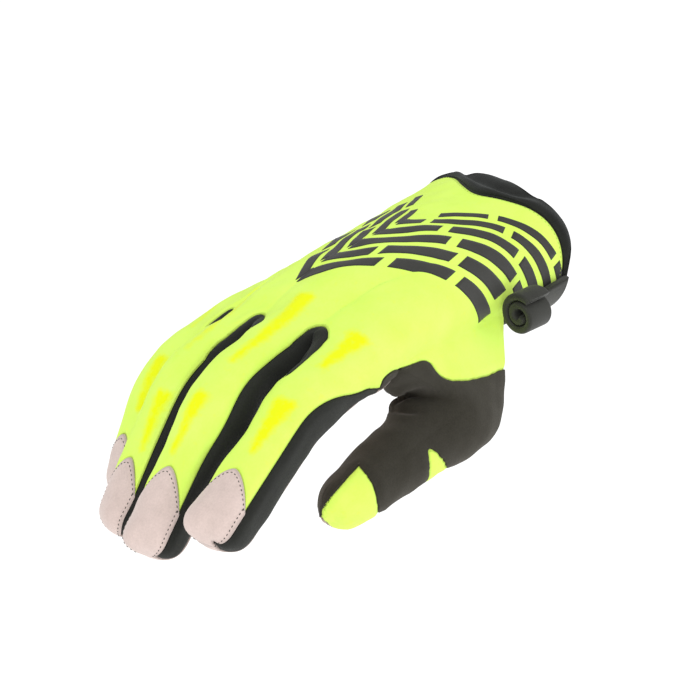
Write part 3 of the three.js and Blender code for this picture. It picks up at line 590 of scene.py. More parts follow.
    def band(self) -> np.ndarray:
        """Rows of the soft cuff band from its rim to its seam."""
        heading = self.wrist_heading(np.arange(RING))
        rim = sum(SIZE.cuff_band * high * smooth(1 - np.abs(wrap(heading - at)) / reach)
                  for high, at, reach in RIM_BUMPS)
        t = (np.arange(STEP.band + 1) / STEP.band)[:, None]
        edge = self.grid[0][None]
        x = mix(rim[None], edge[..., 0], t)
        swell = np.where(t == 1, 1.0, 1 + self.swell * np.sin(np.pi * (1 - t) * self.swell_run))
        return np.concatenate([x[..., None], edge[..., 1:] * swell[..., None]], axis=-1)


class FingerGrids:
    """Four strips of each finger as grids of points: back, palm and the two sides."""

    def __init__(self, hand: Hand) -> None:
        """Grow every finger out of the hand's end ring.

        Args:
            hand: The hand that the fingers grow from.
        """
        self.hand = hand
        self.rows = np.arange(LAST_ROW * STEP.finger + 1) / STEP.finger
        self.back = [self.back_grid(i) for i in range(4)]
        self.palm = [self.palm_grid(i) for i in range(4)]
        self.join_palms()
        self.thumb_side, self.far_side = self.side_grids()

    def grown(self, i: int, across: np.ndarray, angle: np.ndarray, columns: np.ndarray) -> np.ndarray:
        """Points that start at the hand's end ring and turn into the finger's own section.

        Args:
            i: Number of the finger.
            across: Place across the back, which shapes the rows.
            angle: Angles round the finger, rows by columns.
            columns: Columns of the hand's end ring.

        Returns:
            A grid of points, rows by columns.
        """
        finger = FINGERS[i]
        s = finger.station(self.rows[:, None], across) + 0 * angle
        start = np.array(finger.start)
        offset = (self.hand.end[columns % RING] - finger.centre(start))[None]
        share = (1 - (1 - np.minimum(1, (s - finger.start) / SIZE.root_length)) ** 2)[..., None]
        wide, high = finger.offset(s, angle)
        ahead = (1 - share) * dot(offset, finger.tangent(start))
        out = mix(dot(offset, finger.radial), wide, share)
        rise = mix(dot(offset, finger.upward(start)), high, share)
        return finger.centre(s) + finger.tangent(s) * ahead + finger.radial * out + finger.upward(s) * rise

    def back_grid(self, i: int) -> np.ndarray:
        """Back of a finger, from its thumb side to its other side."""
        finger = FINGERS[i]
        across = mix(1.0, -1.0, np.arange(STEP.back + 1) / STEP.back)[None]
        s = finger.station(self.rows[:, None], across)
        seam = np.where(across < 0, finger.back_seam(-1, s), finger.back_seam(1, s))
        return self.grown(i, across, across * seam, i * STEP.back + np.arange(STEP.back + 1))

    def palm_grid(self, i: int) -> np.ndarray:
        """Palm side of a finger, from its far side round to its thumb side."""
        share = np.arange(STEP.palm + 1) / STEP.palm
        angle = -mix(SIZE.palm_seam, 360 - SIZE.palm_seam, share)[None] + 0 * self.rows[:, None]
        columns = PALM_PART + (3 - i) * STEP.palm + np.arange(STEP.palm + 1)
        return self.grown(i, np.array(1.0), angle, columns)

    def edge_stations(self, i: int) -> np.ndarray:
        """Distance along a finger of every row at its edge."""
        return FINGERS[i].station(self.rows, np.array(1.0))

    def join_palms(self) -> None:
        """Palm seams of neighbours run together up to the crotch and part beyond it."""
        share = (np.arange(STEP.palm + 1) / STEP.palm)[None, :, None]
        pull = (1 - smooth((self.rows - CROTCH_ROW) / 2))[:, None, None]
        for i in range(3):
            one, two = self.palm[i], self.palm[i + 1]
            half = (two[:, -1:] - one[:, :1]) / 2
            one += half * pull * (1 - share) ** 2
            two -= half * pull * share ** 2

    def edge_shifts(self, i: int, side: int) -> tuple[np.ndarray, np.ndarray]:
        """How far the back edge and the palm edge of a side lie from the finger's plain section."""
        finger = FINGERS[i]
        s = self.edge_stations(i)
        top = self.back[i][:, 0 if side > 0 else -1]
        foot = self.palm[i][:, -1 if side > 0 else 0]
        seam = finger.back_seam(side, s)
        palm = np.full(s.shape, SIZE.palm_seam)
        return top - finger.skin(s, side * seam), foot - finger.skin(s, side * palm)

    def side_grid(self, i: int, side: int, other: int) -> np.ndarray:
        """Strip between the back seam and the palm seam, which stops in the valley near the root.

        Args:
            i: Number of the finger.
            side: 1 for the thumb side and -1 for the far side.
            other: Number of the finger across the valley.

        Returns:
            A grid of points from the back seam down.
        """
        finger = FINGERS[i]
        s = self.edge_stations(i)
        reach = np.minimum(1, self.rows / CROTCH_ROW)
        valley = (self.half_way(i, side, reach) + self.half_way(other, -side, reach)) / 2
        foot = self.palm[i][:, -1 if side > 0 else 0]
        end = np.where((self.rows < CROTCH_ROW)[:, None], valley, foot)
        seam = finger.back_seam(side, s)
        top_shift, _ = self.edge_shifts(i, side)
        end_shift = end - finger.skin(s, side * mix(seam, SIZE.palm_seam, reach))
        u = (np.arange(STEP.side + 1) / STEP.side)[None]
        angle = side * mix(seam[:, None], SIZE.palm_seam, u * reach[:, None])
        grid = finger.skin(s[:, None] + 0 * u, angle)
        grid += top_shift[:, None] * (1 - u[..., None]) + end_shift[:, None] * u[..., None]
        grid[0] = self.back[i][0, 0 if side > 0 else -1]
        return grid

    def half_way(self, i: int, side: int, reach: np.ndarray) -> np.ndarray:
        """Lowest line of a finger's side while it is still in the valley."""
        finger = FINGERS[i]
        s = self.edge_stations(i)
        top, foot = self.edge_shifts(i, side)
        seam = finger.back_seam(side, s)
        line = finger.skin(s, side * mix(seam, SIZE.palm_seam, reach))
        return line + top * (1 - reach[:, None]) + foot * reach[:, None]

    def side_grids(self) -> tuple[list[np.ndarray], list[np.ndarray]]:
        """Thumb-side and far-side strips of the four fingers."""
        s = self.edge_stations(0)
        u = (np.arange(STEP.side + 1) / STEP.side)[None]
        seam = FINGERS[0].back_seam(1, s)[:, None]
        outer = self.grown(0, np.array(1.0), mix(seam, SIZE.palm_seam, u), RING - np.arange(STEP.side + 1))
        low = FINGERS[3].seams[1]
        angle = -mix(low, SIZE.palm_seam, u) + 0 * self.rows[:, None]
        final = self.grown(3, np.array(1.0), angle, BACK_PART + np.arange(STEP.side + 1))
        near = [outer] + [self.side_grid(i, 1, i - 1) for i in (1, 2, 3)]
        far = [self.side_grid(i, -1, i + 1) for i in (0, 1, 2)] + [final]
        return near, far


@dataclass
class Thumb:
    """Thumb: a tapered tube, and a web that runs to it from a loop of points on the hand."""

    hand: Hand
    back: float = 0.625
    across: float = -0.435
    rise: float = -0.37
    spread: float = 5
    drop: float = 8
    bend: float = 6
    swell_angle: float = 165
    taper: float = 0.4
    round_end: float = SIZE.thumb_width * 0.45
    flat: float = 0.92
    power: float = 0.92
    web_way: tuple[float, float, float] = (0, 0.25, 0.97)
    web_slopes: tuple[float, float, float] = (0.9, 0.15, 0.8)
    web_end: tuple[float, float] = (0.1, 0.14)
    corners: tuple[float, ...] = (140, 45, -45, -140, -220)
    outer_seam: float = 14
    back_seam: float = 54
    palm_seams: tuple[float, float] = (-168, -44)
    gusset_seam: float = 100
    gusset_rows: tuple[float, float] = (2, 4)
    zones: tuple[int, int, int, int] = (3, 4, 6, 4)
    hole_columns: tuple[int, int] = (SIDE_PART - STEP.palm - STEP.palm // 2, RING)

    def __post_init__(self) -> None:
        """Lay out the loop round the thumb's root and carry a column to the tip from each of its points."""
        self.loop_from, self.angle = self.loop()
        self.grid = self.columns()

    def frames(self, s: np.ndarray) -> tuple[np.ndarray, np.ndarray, np.ndarray, np.ndarray]:
        """Centre, tangent, direction to the web and direction outwards, at distances along the thumb."""
        knuckle = np.array([-SIZE.hand_length * self.back, SIZE.palm_width * self.across,
                            SIZE.palm_width * self.rise])
        turn, half = math.radians(self.spread), SIZE.thumb_length / 2
        first = math.radians(self.drop)
        second = first + math.radians(self.bend)

        def heading(drop: np.ndarray) -> np.ndarray:
            """Direction that drops below level by an angle."""
            drop = np.asarray(drop)[..., None]
            level = np.array([-math.cos(turn), -math.sin(turn), 0])
            return level * np.cos(drop) - np.array([0, 0, 1.0]) * np.sin(drop)

        share = smooth((s - half) / SIZE.finger_width + 0.5)
        near, far = np.minimum(s, half)[..., None], np.maximum(0, s - half)[..., None]
        centre = knuckle + heading(first) * near + heading(second) * far
        tangent = heading(mix(first, second, share))
        web = unit(self.web_way - tangent * dot(self.web_way * np.ones_like(tangent), tangent))
        return centre, tangent, web, unit(np.cross(web, tangent))

    def skin(self, s: np.ndarray, angle: np.ndarray) -> np.ndarray:
        """Point on the thumb's skin: an oval that tapers, swells under its joint and rounds at the tip.

        Args:
            s: Distance along the thumb.
            angle: Angle round it, 0 at the web and 90 outwards.

        Returns:
            Points.
        """
        at = np.clip(s / SIZE.thumb_length, 0, 1)
        turn = np.maximum(0, np.cos(np.radians(angle - self.swell_angle)))
        half = mix(SIZE.thumb_base_width, SIZE.thumb_width, smooth(at / self.taper)) / 2
        half = half * THUMB_GIRTH.at("girth", at) * (1 + THUMB_GIRTH.at("swell", at) * turn)
        wide, high = blunt(s, SIZE.thumb_length, self.round_end)
        centre, _, web, outer = self.frames(s)
        a = np.radians(angle)
        return (centre + web * (half * wide * signed(np.cos(a), self.power))[..., None]
                + outer * (half * self.flat * high * signed(np.sin(a), self.power))[..., None])

    def loop(self) -> tuple[np.ndarray, np.ndarray]:
        """Points round the hole in the hand's grid, and the angle on the thumb that each one runs to."""
        low, high = (row * STEP.hand for row in HOLE_ROWS)
        left, right = self.hole_columns
        rows, columns = np.arange(low, high), np.arange(right, left, -1)
        down, across = (rows - low) / (high - low), (right - columns) / (right - left)
        turns = [mix(one, two, share) for one, two, share in zip(
            self.corners, self.corners[1:], (down, across, down, across))]
        sides = (
            (rows, np.full(rows.shape, right), turns[0]),
            (np.full(columns.shape, high), columns, turns[1]),
            (rows[::-1] + 1, np.full(rows.shape, left), turns[2]),
            (np.full(columns.shape, low), left + right - columns, turns[3]),
        )
        row, column, angle = (np.concatenate(part) for part in zip(*sides))
        return self.hand.grid[row, column % RING], angle

    def columns(self) -> np.ndarray:
        """Rows from the hand's loop over the web and along the tube to the tip.

        The web is a cubic curve that leaves the hand along the straight way and arrives along the thumb.

        Returns:
            A grid of points, rows by loop points.
        """
        start = self.loop_from
        angle = self.angle
        s0 = SIZE.thumb_length * (self.web_end[0] + self.web_end[1] * np.cos(np.radians(angle)))
        finish = self.skin(s0, angle)
        chord = finish - start
        size = np.linalg.norm(chord, axis=-1, keepdims=True)
        ahead, aside, home = self.web_slopes
        leave = chord * ahead + unit(start * np.array([0, 1, 1])) * size * aside
        arrive = self.frames(s0)[1] * size * home

        def web(t: np.ndarray) -> np.ndarray:
            """Point on the web curve of every column."""
            return cubic(t[..., None], start, leave, finish, arrive)

        seam, tip = THUMB_SEAMS.at("root", angle), SIZE.thumb_length * THUMB_SEAMS.at("tip", angle)
        parts = []
        for zone, count in enumerate(self.zones):
            cells = count * STEP.thumb
            for k in range(cells + (zone == 3)):
                t = k / cells
                if zone == 0:
                    parts.append(web(seam * t))
                elif zone == 1:
                    parts.append(web(mix(seam, 1.0, t)))
                elif zone == 2:
                    parts.append(self.skin(mix(s0, tip, t), angle))
                else:
                    parts.append(self.skin(mix(tip, SIZE.thumb_length - TIP_GAP, t), angle))
        return np.stack(parts)

    def in_gusset(self, row: np.ndarray, turn: np.ndarray) -> np.ndarray:
        """Mask of the cells of the yellow gusset, a pointed arch on the outer, lower side.

        Args:
            row: Row numbers.
            turn: Angles round the thumb.

        Returns:
            The mask.
        """
        shaft = (row - sum(self.zones[:2]) * STEP.thumb) / STEP.thumb
        outside = (turn > self.gusset_seam) | (turn < self.palm_seams[0])
        return outside & (shaft >= self.gusset_rows[0]) & (shaft < self.gusset_rows[1])


class Skin:
    """One surface for the whole glove: shared points, faces, and the panel of each face."""

    smooth_times, smooth_rates = 14, (0.55, -0.5)
    smooth_least, smooth_roots = 0.12, 0.5
    thumb_near, thumb_fade = 3, 9
    roots_at, roots_reach = 116, 16
    rim_held, rim_fade = 1, 12
    seam_times, seam_rates, beside_times = 24, (0.6, -0.58), 6
    seam_reach = 2.5
    tip_edge, tip_times = 1.0, 10
    loop_skip, spread_times = 6, 36

    def __init__(self) -> None:
        """Join the grids of hand, fingers, thumb and cuff, and smooth where they meet."""
        self.hand = Hand()
        self.fingers = FingerGrids(self.hand)
        self.thumb = Thumb(self.hand)
        self.parts: list[tuple[np.ndarray, np.ndarray, np.ndarray]] = []
        self.grids: dict[str, np.ndarray] = {}
        self.add_hand()
        self.add_fingers()
        self.add_thumb()
        self.merge()
        self.edges = np.unique(edges_of(self.faces), axis=0)
        self.even_out()
        for place in PUSHES:
            self.push(*place)
        self.draw_seams()
        self.normals = self.point_normals(self.points, self.faces)
        self.seam_gap = self.spread(self.seam_points(), FAR)

    def add(self, name: str, grid: np.ndarray, labels: np.ndarray) -> None:
        """Take the cells of a grid as triangles, with lengths along its lines as their flat places.

        Args:
            name: Name that the grid's points are found by later.
            grid: Points, rows by columns, rows running away from the wrist.
            labels: Panel number of each cell, below 0 for a cell that is left out.
        """
        self.grids[name] = grid
        along = np.linalg.norm(np.diff(grid, axis=0, prepend=grid[:1]), axis=-1).cumsum(axis=0)
        across = np.linalg.norm(np.diff(grid, axis=1, prepend=grid[:, :1]), axis=-1).cumsum(axis=1)
        joined = np.concatenate([grid, across[..., None], along[..., None]], axis=-1)
        a, b, c, d = joined[:-1, :-1], joined[:-1, 1:], joined[1:, 1:], joined[1:, :-1]
        keep = labels.ravel() >= 0
        for three in ((a, b, c), (a, c, d)):
            corners = np.stack([p.reshape(-1, 5) for p in three], axis=1)[keep]
            self.parts.append((corners[..., :3], corners[..., 3:], labels.ravel()[keep]))

    def add_fan(self, ring: np.ndarray, tip: np.ndarray, labels: np.ndarray) -> None:
        """Close a ring of points on a tip."""
        corners = np.stack([ring, np.roll(ring, -1, axis=0), np.broadcast_to(tip, ring.shape)], axis=1)
        self.parts.append((corners, corners[..., 1:], labels))

    def add_hand(self) -> None:
        """Cells of the hand and the cuff band."""
        grid = self.hand.grid
        ring = np.concatenate([grid, grid[:, :1]], axis=1)
        row, column = np.indices((grid.shape[0] - 1, RING))
        labels = np.full(row.shape, Panel.BACK.number)
        labels[(column >= PALM_PART) & (column < SIDE_PART)] = Panel.PALM.number
        low, high = (r * STEP.hand for r in HOLE_ROWS)
        labels[(column >= SIDE_PART) & (row >= high)] = Panel.INDEX_SIDE.number
        left, right = self.thumb.hole_columns
        labels[(row >= low) & (row < high) & (column >= left) & (column < right)] = -1
        self.add("hand", ring, labels)
        band = self.hand.band()
        band = np.concatenate([band, band[:, :1]], axis=1)
        self.add("band", band, np.full((STEP.band, RING), Panel.CUFF.number))

    def add_fingers(self) -> None:
        """Cells of the fingers: backs up to the caps, palms with the caps, and side strips."""
        palm = Panel.PALM.number
        rows = LAST_ROW * STEP.finger
        for i, finger in enumerate(FINGERS):
            back, front = self.fingers.back[i], self.fingers.palm[i]
            near, far = self.fingers.thumb_side[i], self.fingers.far_side[i]
            labels = np.full((rows, STEP.back), Panel.BACK.number)
            labels[CAP_ROW * STEP.finger:] = palm
            self.add(f"{finger.name}_back", back, labels)
            self.add(f"{finger.name}_palm", front, np.full((rows, STEP.palm), palm))
            for side, grid, panel in (("far", far, SIDES[i + 1]), ("near", near[:, ::-1], SIDES[i])):
                self.add(f"{finger.name}_{side}", grid, np.full((rows, STEP.side), panel.number))
            ring = np.concatenate([g[-1, :-1] for g in (back, far, front)] + [near[-1, :0:-1]])
            tip = finger.centre(np.array(finger.length))
            self.add_fan(ring, tip, np.full(len(ring), palm))

    def add_thumb(self) -> None:
        """Cells of the thumb: yellow root, black web and shaft, yellow tip and gusset, suede underside."""
        thumb, grid = self.thumb, self.thumb.grid
        middle = (thumb.angle + np.append(thumb.angle[1:], thumb.corners[-1])) / 2
        loop = np.concatenate([grid, grid[:, :1]], axis=1)
        row, turn = np.meshgrid(np.arange(len(grid)), middle, indexing="ij")
        edges = np.cumsum(thumb.zones) * STEP.thumb
        low, high = thumb.palm_seams
        labels = np.full(row.shape, Panel.THUMB.number)
        labels[(row < edges[0]) & ((turn > thumb.back_seam) | (turn < low))] = Panel.BACK.number
        labels[thumb.in_gusset(row, turn)] = Panel.GUSSET.number
        labels[(row >= edges[2]) & ((turn > thumb.outer_seam) | (turn < low))] = Panel.THUMB_TIP.number
        labels[(turn > low) & (turn < high)] = Panel.PALM.number
        self.add("thumb", loop, labels[:-1])
        tip = thumb.frames(np.array(SIZE.thumb_length))[0]
        self.add_fan(grid[-1], tip, labels[-1])

    @staticmethod
    def key(points: np.ndarray) -> np.ndarray:
        """One whole number for each point, the same for points closer than about 0.002 mm."""
        whole = np.round((points.reshape(-1, 3) + KEY_SHIFT) * KEY_SCALE).astype(np.int64) + (1 << 20)
        return (whole[:, 0] << 42) + (whole[:, 1] << 21) + whole[:, 2]

    def merge(self) -> None:
        """Give equal corners one point, drop triangles that have no area, and number the grids."""
        corners, flat, labels = (np.concatenate(part) for part in zip(*self.parts))
        keys, first, number = np.unique(self.key(corners), return_index=True, return_inverse=True)
        faces = number.reshape(-1, 3)
        keep = (faces[:, 0] != faces[:, 1]) & (faces[:, 1] != faces[:, 2]) & (faces[:, 0] != faces[:, 2])
        self.points = corners.reshape(-1, 3)[first]
        self.faces, self.flat, self.labels = faces[keep], flat[keep], labels[keep]
        for name, grid in self.grids.items():
            found = np.searchsorted(keys, self.key(grid))
            self.grids[name] = np.minimum(found, len(keys) - 1).reshape(grid.shape[:2])

    @staticmethod
    def point_normals(points: np.ndarray, faces: np.ndarray) -> np.ndarray:
        """Normals of the points, weighted by the area of the faces round them."""
        across = crossed(points, faces)
        return unit(sum(gather(faces[:, k], across, len(points)) for k in range(3)))

    @staticmethod
    def mean_over(edges: np.ndarray, values: np.ndarray) -> tuple[np.ndarray, np.ndarray]:
        """Means over the other ends of edges.

        Args:
            edges: Pairs of point numbers.
            values: Rows of values, one for each point.

        Returns:
            The mean at each point, and how many edges it has.
        """
        (a, b), size = edges.T, len(values)
        count = np.bincount(a, minlength=size) + np.bincount(b, minlength=size)
        total = gather(a, values[b], size) + gather(b, values[a], size)
        return total / np.maximum(count, 1)[:, None], count

    def even_out(self) -> None:
        """Smooth the surface, most near the thumb's root and the finger roots, with its rim held."""
        x = self.points[:, 0]
        loop = self.thumb.loop_from[::self.loop_skip]
        gap = np.min(np.linalg.norm(self.points[:, None] - loop[None], axis=-1), axis=1)
        roots = 1 - smooth(np.abs(x + self.roots_at) / self.roots_reach)
        near = (1 - self.smooth_least) * (1 - smooth((gap - self.thumb_near) / self.thumb_fade))
        weight = np.clip(self.smooth_least + near + self.smooth_roots * roots, 0, 1)
        weight = (weight * smooth((-x - self.rim_held) / self.rim_fade))[:, None]
        for rate in self.smooth_rates * self.smooth_times:
            mean, _ = self.mean_over(self.edges, self.points)
            self.points = self.points + rate * weight * (mean - self.points)

    def relax(self, free: np.ndarray, times: int) -> None:
        """Move the marked points half way to the mean of their neighbours, a number of times."""
        for _ in range(times):
            mean, _ = self.mean_over(self.edges, self.points)
            self.points = np.where(free[:, None], mix(self.points, mean, 0.5), self.points)

    def push(self, centre: tuple[float, ...], move: tuple[float, ...], reach: float) -> None:
        """Move the surface round a place, fading with a bell curve."""
        gap = np.linalg.norm(self.points - np.array(centre), axis=1)
        self.points = self.points + np.exp(-(gap / reach) ** 2)[:, None] * np.array(move)

    def draw_seams(self) -> None:
        """Give faces beside some seams to the panel that covers them in the picture, and even those seams.

        The ends of the slots, the thumb's root seam, its yellow tip and its gusset are outlines drawn from
        the front, and only faces within a region that is turned that way change.
        """
        before = self.labels.copy()
        back, palm, side, thumb, tip, gusset = (panel.number for panel in (
            Panel.BACK, Panel.PALM, Panel.INDEX_SIDE, Panel.THUMB, Panel.THUMB_TIP, Panel.GUSSET))
        middle = self.points[self.faces].mean(axis=1)
        picture = Eye.picture(middle)
        normal = unit(self.point_normals(self.points, self.faces)[self.faces].mean(axis=1))
        toward = dot(unit(Eye.toward * Eye.distance - middle), normal)[:, 0]
        for panel, start, end, radius in SLOT_ENDS:
            near = self.near_line(middle, np.array([start, end]))[0] < radius
            self.labels[near & (self.labels == back)] = panel.number
        for panel, region, outline in SLOT_OUTLINES:
            near = region.mask(middle, toward) & Eye.within(picture, outline)
            self.labels[near & (self.labels == back)] = panel.number
        under = np.any([region.mask(middle, toward) for region in UNDERSIDE], axis=0)
        self.labels[under & (self.labels == palm) & (normal[:, 2] < UNDERSIDE_TILT)] = side
        root = ROOT.mask(middle, toward) & Eye.within(picture, ROOT_FRAME)
        root &= np.isin(self.labels, (back, thumb, side, palm))
        above = Eye.within(picture, ROOT_LINE)
        self.labels[root & above] = back
        self.labels[root & ~above] = np.where(picture[root & ~above, 0] > WEB_START, thumb, side)
        end = self.points[self.grids["thumb"][-1]].mean(axis=0)
        on_tip = TIP.mask(middle, toward) & np.isin(self.labels, (tip, thumb, palm))
        on_tip |= np.linalg.norm(middle - end, axis=1) < TIP_CORE
        self.labels[on_tip] = np.where(Eye.within(picture[on_tip], TIP_OUTLINE), tip, thumb)
        on_shaft = SHAFT.mask(middle, toward) & np.isin(self.labels, (gusset, thumb))
        self.labels[on_shaft] = np.where(Eye.within(picture[on_shaft], GUSSET_OUTLINE), gusset, thumb)
        changed = np.zeros(len(self.points), bool)
        changed[self.faces[before != self.labels].ravel()] = True
        self.even_seams(self.spread(changed, FAR) < self.seam_reach)
        at_end = np.linalg.norm(self.points - end, axis=1) < TIP_ROUND
        self.relax(at_end & (self.spread(self.seam_points(), FAR) > self.tip_edge), self.tip_times)

    def even_seams(self, free: np.ndarray) -> None:
        """Take the steps out of seams by moving their points along them, and relax the points beside them.

        Args:
            free: Mask of the points that may move.
        """
        edges, label = edges_of(self.faces), np.tile(self.labels, 3)
        key = edges[:, 0] * len(self.points) + edges[:, 1]
        order = np.argsort(key, kind="stable")
        key, label, edges = key[order], label[order], edges[order]
        seam = edges[np.flatnonzero((key[1:] == key[:-1]) & (label[1:] != label[:-1]))]
        for rate in self.seam_rates * self.seam_times:
            mean, count = self.mean_over(seam, self.points)
            loose = (free & (count == 2))[:, None]
            self.points = np.where(loose, self.points + rate * (mean - self.points), self.points)
        self.relax(free & (count == 0), self.beside_times)

    def seam_points(self) -> np.ndarray:
        """Mask of the points where two panels meet."""
        size = len(self.points)
        count = np.zeros(size, int)
        for k in range(len(PANELS)):
            count += np.bincount(self.faces[self.labels == k].ravel(), minlength=size) > 0
        return count > 1

    def spread(self, start: np.ndarray, limit: float) -> np.ndarray:
        """Distance over the surface from the marked points, worked out from neighbour to neighbour.

        Args:
            start: Mask of the points at distance 0.
            limit: Distance past which it stops.

        Returns:
            The distances, at most the limit.
        """
        distance = np.where(start, 0.0, limit)
        one, two = np.concatenate([self.edges, self.edges[:, ::-1]]).T
        order = np.argsort(one, kind="stable")
        one, two = one[order], two[order]
        length = np.linalg.norm(self.points[one] - self.points[two], axis=1)
        begins = np.flatnonzero(np.diff(one, prepend=-1))
        for _ in range(self.spread_times):
            best = np.minimum.reduceat(distance[two] + length, begins)
            distance[one[begins]] = np.minimum(distance[one[begins]], best)
        return distance

    @staticmethod
    def ripple(points: np.ndarray, size: float, seed: int) -> np.ndarray:
        """Soft uneven waves of about one size in millimetres: a mean of waves in seeded directions."""
        chance = np.random.default_rng(seed)
        ways = unit(chance.normal(size=(7, 3)))
        shift = chance.uniform(0, 2 * math.pi, 7)
        return np.sin(points @ ways.T * (2 * math.pi / size) + shift).sum(axis=1) / 7 ** 0.5

    @staticmethod
    def near_line(points: np.ndarray, line: np.ndarray) -> tuple[np.ndarray, np.ndarray]:
        """Distance of every point from a bent line, and the share along it of the closest place.

        Args:
            points: Points in space or in the picture.
            line: Points of the line, of the same kind.

        Returns:
            Distances, and shares from 0 to 1.
        """
        best = np.full(len(points), np.inf)
        share = np.zeros(len(points))
        count = len(line) - 1
        for k, (a, b) in enumerate(zip(line[:-1], line[1:])):
            way = b - a
            t = np.clip((points - a) @ way / (way @ way), 0, 1)
            gap = np.linalg.norm(points - a - t[:, None] * way, axis=1)
            closer = gap < best
            best, share = np.where(closer, gap, best), np.where(closer, (k + t) / count, share)
        return best, share


WAVES = ((19, 3, 1.0), (8, 5, 0.45))


@dataclass(frozen=True)
class Fold:
    """A crease that follows a bent line of the picture on the side that faces it, deepest at its middle."""

    line: tuple[tuple[float, float], ...]
    depth: float
    width: float
    ridge: float = 0.4
    ridge_at: float = 2.1


@dataclass(frozen=True)
class Cut:
    """How a panel is made, in millimetres."""

    panel: Panel
    cloth: "Cloth"
    wall: float
    lift: float = 0.0
    gap: float = 0.3
    rim: float = 0.32
    valley: float = 0.42
    puff: float = 0.16
    held: str = "stretched"
    folds: tuple[Fold, ...] = ()
    wave: float = 0.2
    valley_reach: float = 2.4
    welt_at: float = 3.0
    welt_reach: float = 1.7

    def profile(self, gap: np.ndarray) -> np.ndarray:
        """Height beside a seam: low at the thread, then a soft welt, then level."""
        low = -self.valley * (1 - smooth(gap / self.valley_reach))
        return self.lift + low + self.puff * np.exp(-((gap - self.welt_at) / self.welt_reach) ** 2)

    def height(self, skin: Skin) -> np.ndarray:
        """Height of the panel over the plain skin at every point."""
        calm = smooth(skin.seam_gap / self.welt_at)
        waves = sum(share * skin.ripple(skin.points, size, seed) for size, seed, share in WAVES)
        high = self.profile(skin.seam_gap) + calm * self.wave * waves
        picture = Eye.picture(skin.points) / Eye.scale
        away = dot(Eye.toward * Eye.distance - skin.points, skin.normals)[:, 0] < 0
        for fold in self.folds:
            gap, share = skin.near_line(picture, np.array(fold.line) / Eye.scale)
            gap[away] = np.inf
            ends = np.sqrt(np.maximum(0, np.sin(math.pi * np.clip(share, 0.02, 0.98))))
            high = high - fold.depth * np.exp(-(gap / fold.width) ** 2) * ends
            ridge = np.exp(-((gap - fold.ridge_at * fold.width) / fold.width) ** 2)
            high = high + fold.ridge * fold.depth * ridge * ends
        return high


EDGE_TURNS = (0, 25, 50, 72, 90)
EDGE_UNDER = ((0.0, 0.8), (0.35, 0.25), (0.9, 0.0))
INWARD_TIMES = 3


class Shell:
    """A panel as a closed wall: outer face, rounded edges and inner face."""

    def __init__(self, skin: Skin, cut: Cut) -> None:
        """Cut the panel out of the skin and give it its wall.

        Args:
            skin: The glove's skin.
            cut: How the panel is made.
        """
        chosen = skin.labels == cut.panel.number
        used, local = np.unique(skin.faces[chosen], return_inverse=True)
        faces = local.reshape(-1, 3)
        normal = skin.normals[used]
        top = skin.points[used] + normal * cut.height(skin)[used][:, None]
        flat = np.zeros((len(used), 2))
        flat[faces.ravel()] = skin.flat[chosen].reshape(-1, 2)
        one, two = self.border(faces)
        inward = self.inward(top, normal, one, two)
        edge = np.unique(one)
        number = np.zeros(len(used), int)
        number[edge] = np.arange(len(edge))
        rings = []
        for move, drop in self.steps(cut):
            rings.append(top[edge] + inward[edge] * move - normal[edge] * drop)
        outer, inner = top.copy(), top - normal * cut.wall
        outer[edge], inner[edge] = rings[0], rings[-1]
        middle = rings[1:-1]
        self.points = np.concatenate([outer, *middle, inner])
        size, count = len(used), len(edge)
        base = [None] + [size + k * count for k in range(len(middle))] + [None]
        last = size + count * len(middle)

        def place(ring: int, which: np.ndarray) -> np.ndarray:
            """Point numbers of border points on one of the rings."""
            if ring == 0:
                return which
            return last + which if ring == len(rings) - 1 else base[ring] + number[which]

        walls = []
        for ring in range(len(rings) - 1):
            a, b, c, d = place(ring, two), place(ring, one), place(ring + 1, one), place(ring + 1, two)
            walls.append(halves(a, b, c, d))
        self.faces = np.concatenate([faces, *walls, faces[:, ::-1] + last])
        self.lining = np.zeros(len(self.faces), np.int32)
        self.lining[-len(faces):] = 1
        all_flat = np.concatenate([flat, *[flat[edge]] * len(middle), flat])
        self.flat = all_flat[self.faces]
        self.flat[:len(faces)] = skin.flat[chosen]
        self.flat[-len(faces):] = skin.flat[chosen][:, ::-1]
        gap = skin.seam_gap[used]
        self.seam_gap = np.concatenate([gap, *[gap[edge]] * len(middle), gap])
        self.used = np.concatenate([used, *[used[edge]] * len(middle), used])
        self.area = float(np.linalg.norm(crossed(outer, faces), axis=1).sum() / 2)

    @staticmethod
    def steps(cut: Cut) -> list[tuple[float, float]]:
        """Moves inwards and down that carry the border round the panel's edge."""
        half, rim = cut.gap / 2, cut.rim
        over = [(half + rim * (1 - math.sin(a)), rim * (1 - math.cos(a))) for a in np.radians(EDGE_TURNS)]
        return over + [(half + rim * move, cut.wall - rim * rise) for move, rise in EDGE_UNDER]

    @staticmethod
    def border(faces: np.ndarray) -> tuple[np.ndarray, np.ndarray]:
        """Ends of the edges that only one face has, in that face's order."""
        start, end = faces.ravel(), np.roll(faces, -1, axis=1).ravel()
        size = int(faces.max()) + 1
        alone = ~np.isin(start * size + end, end * size + start)
        return start[alone], end[alone]

    @staticmethod
    def inward(points: np.ndarray, normal: np.ndarray, one: np.ndarray, two: np.ndarray) -> np.ndarray:
        """Direction along the surface from the border into the panel, evened over neighbours."""
        way = unit(points[two] - points[one])
        left = np.cross(normal[one] + normal[two], way)
        for _ in range(INWARD_TIMES):
            mean = unit(gather(one, left, len(points)) + gather(two, left, len(points)))
            left = (mean[one] + mean[two]) / 2
        return mean


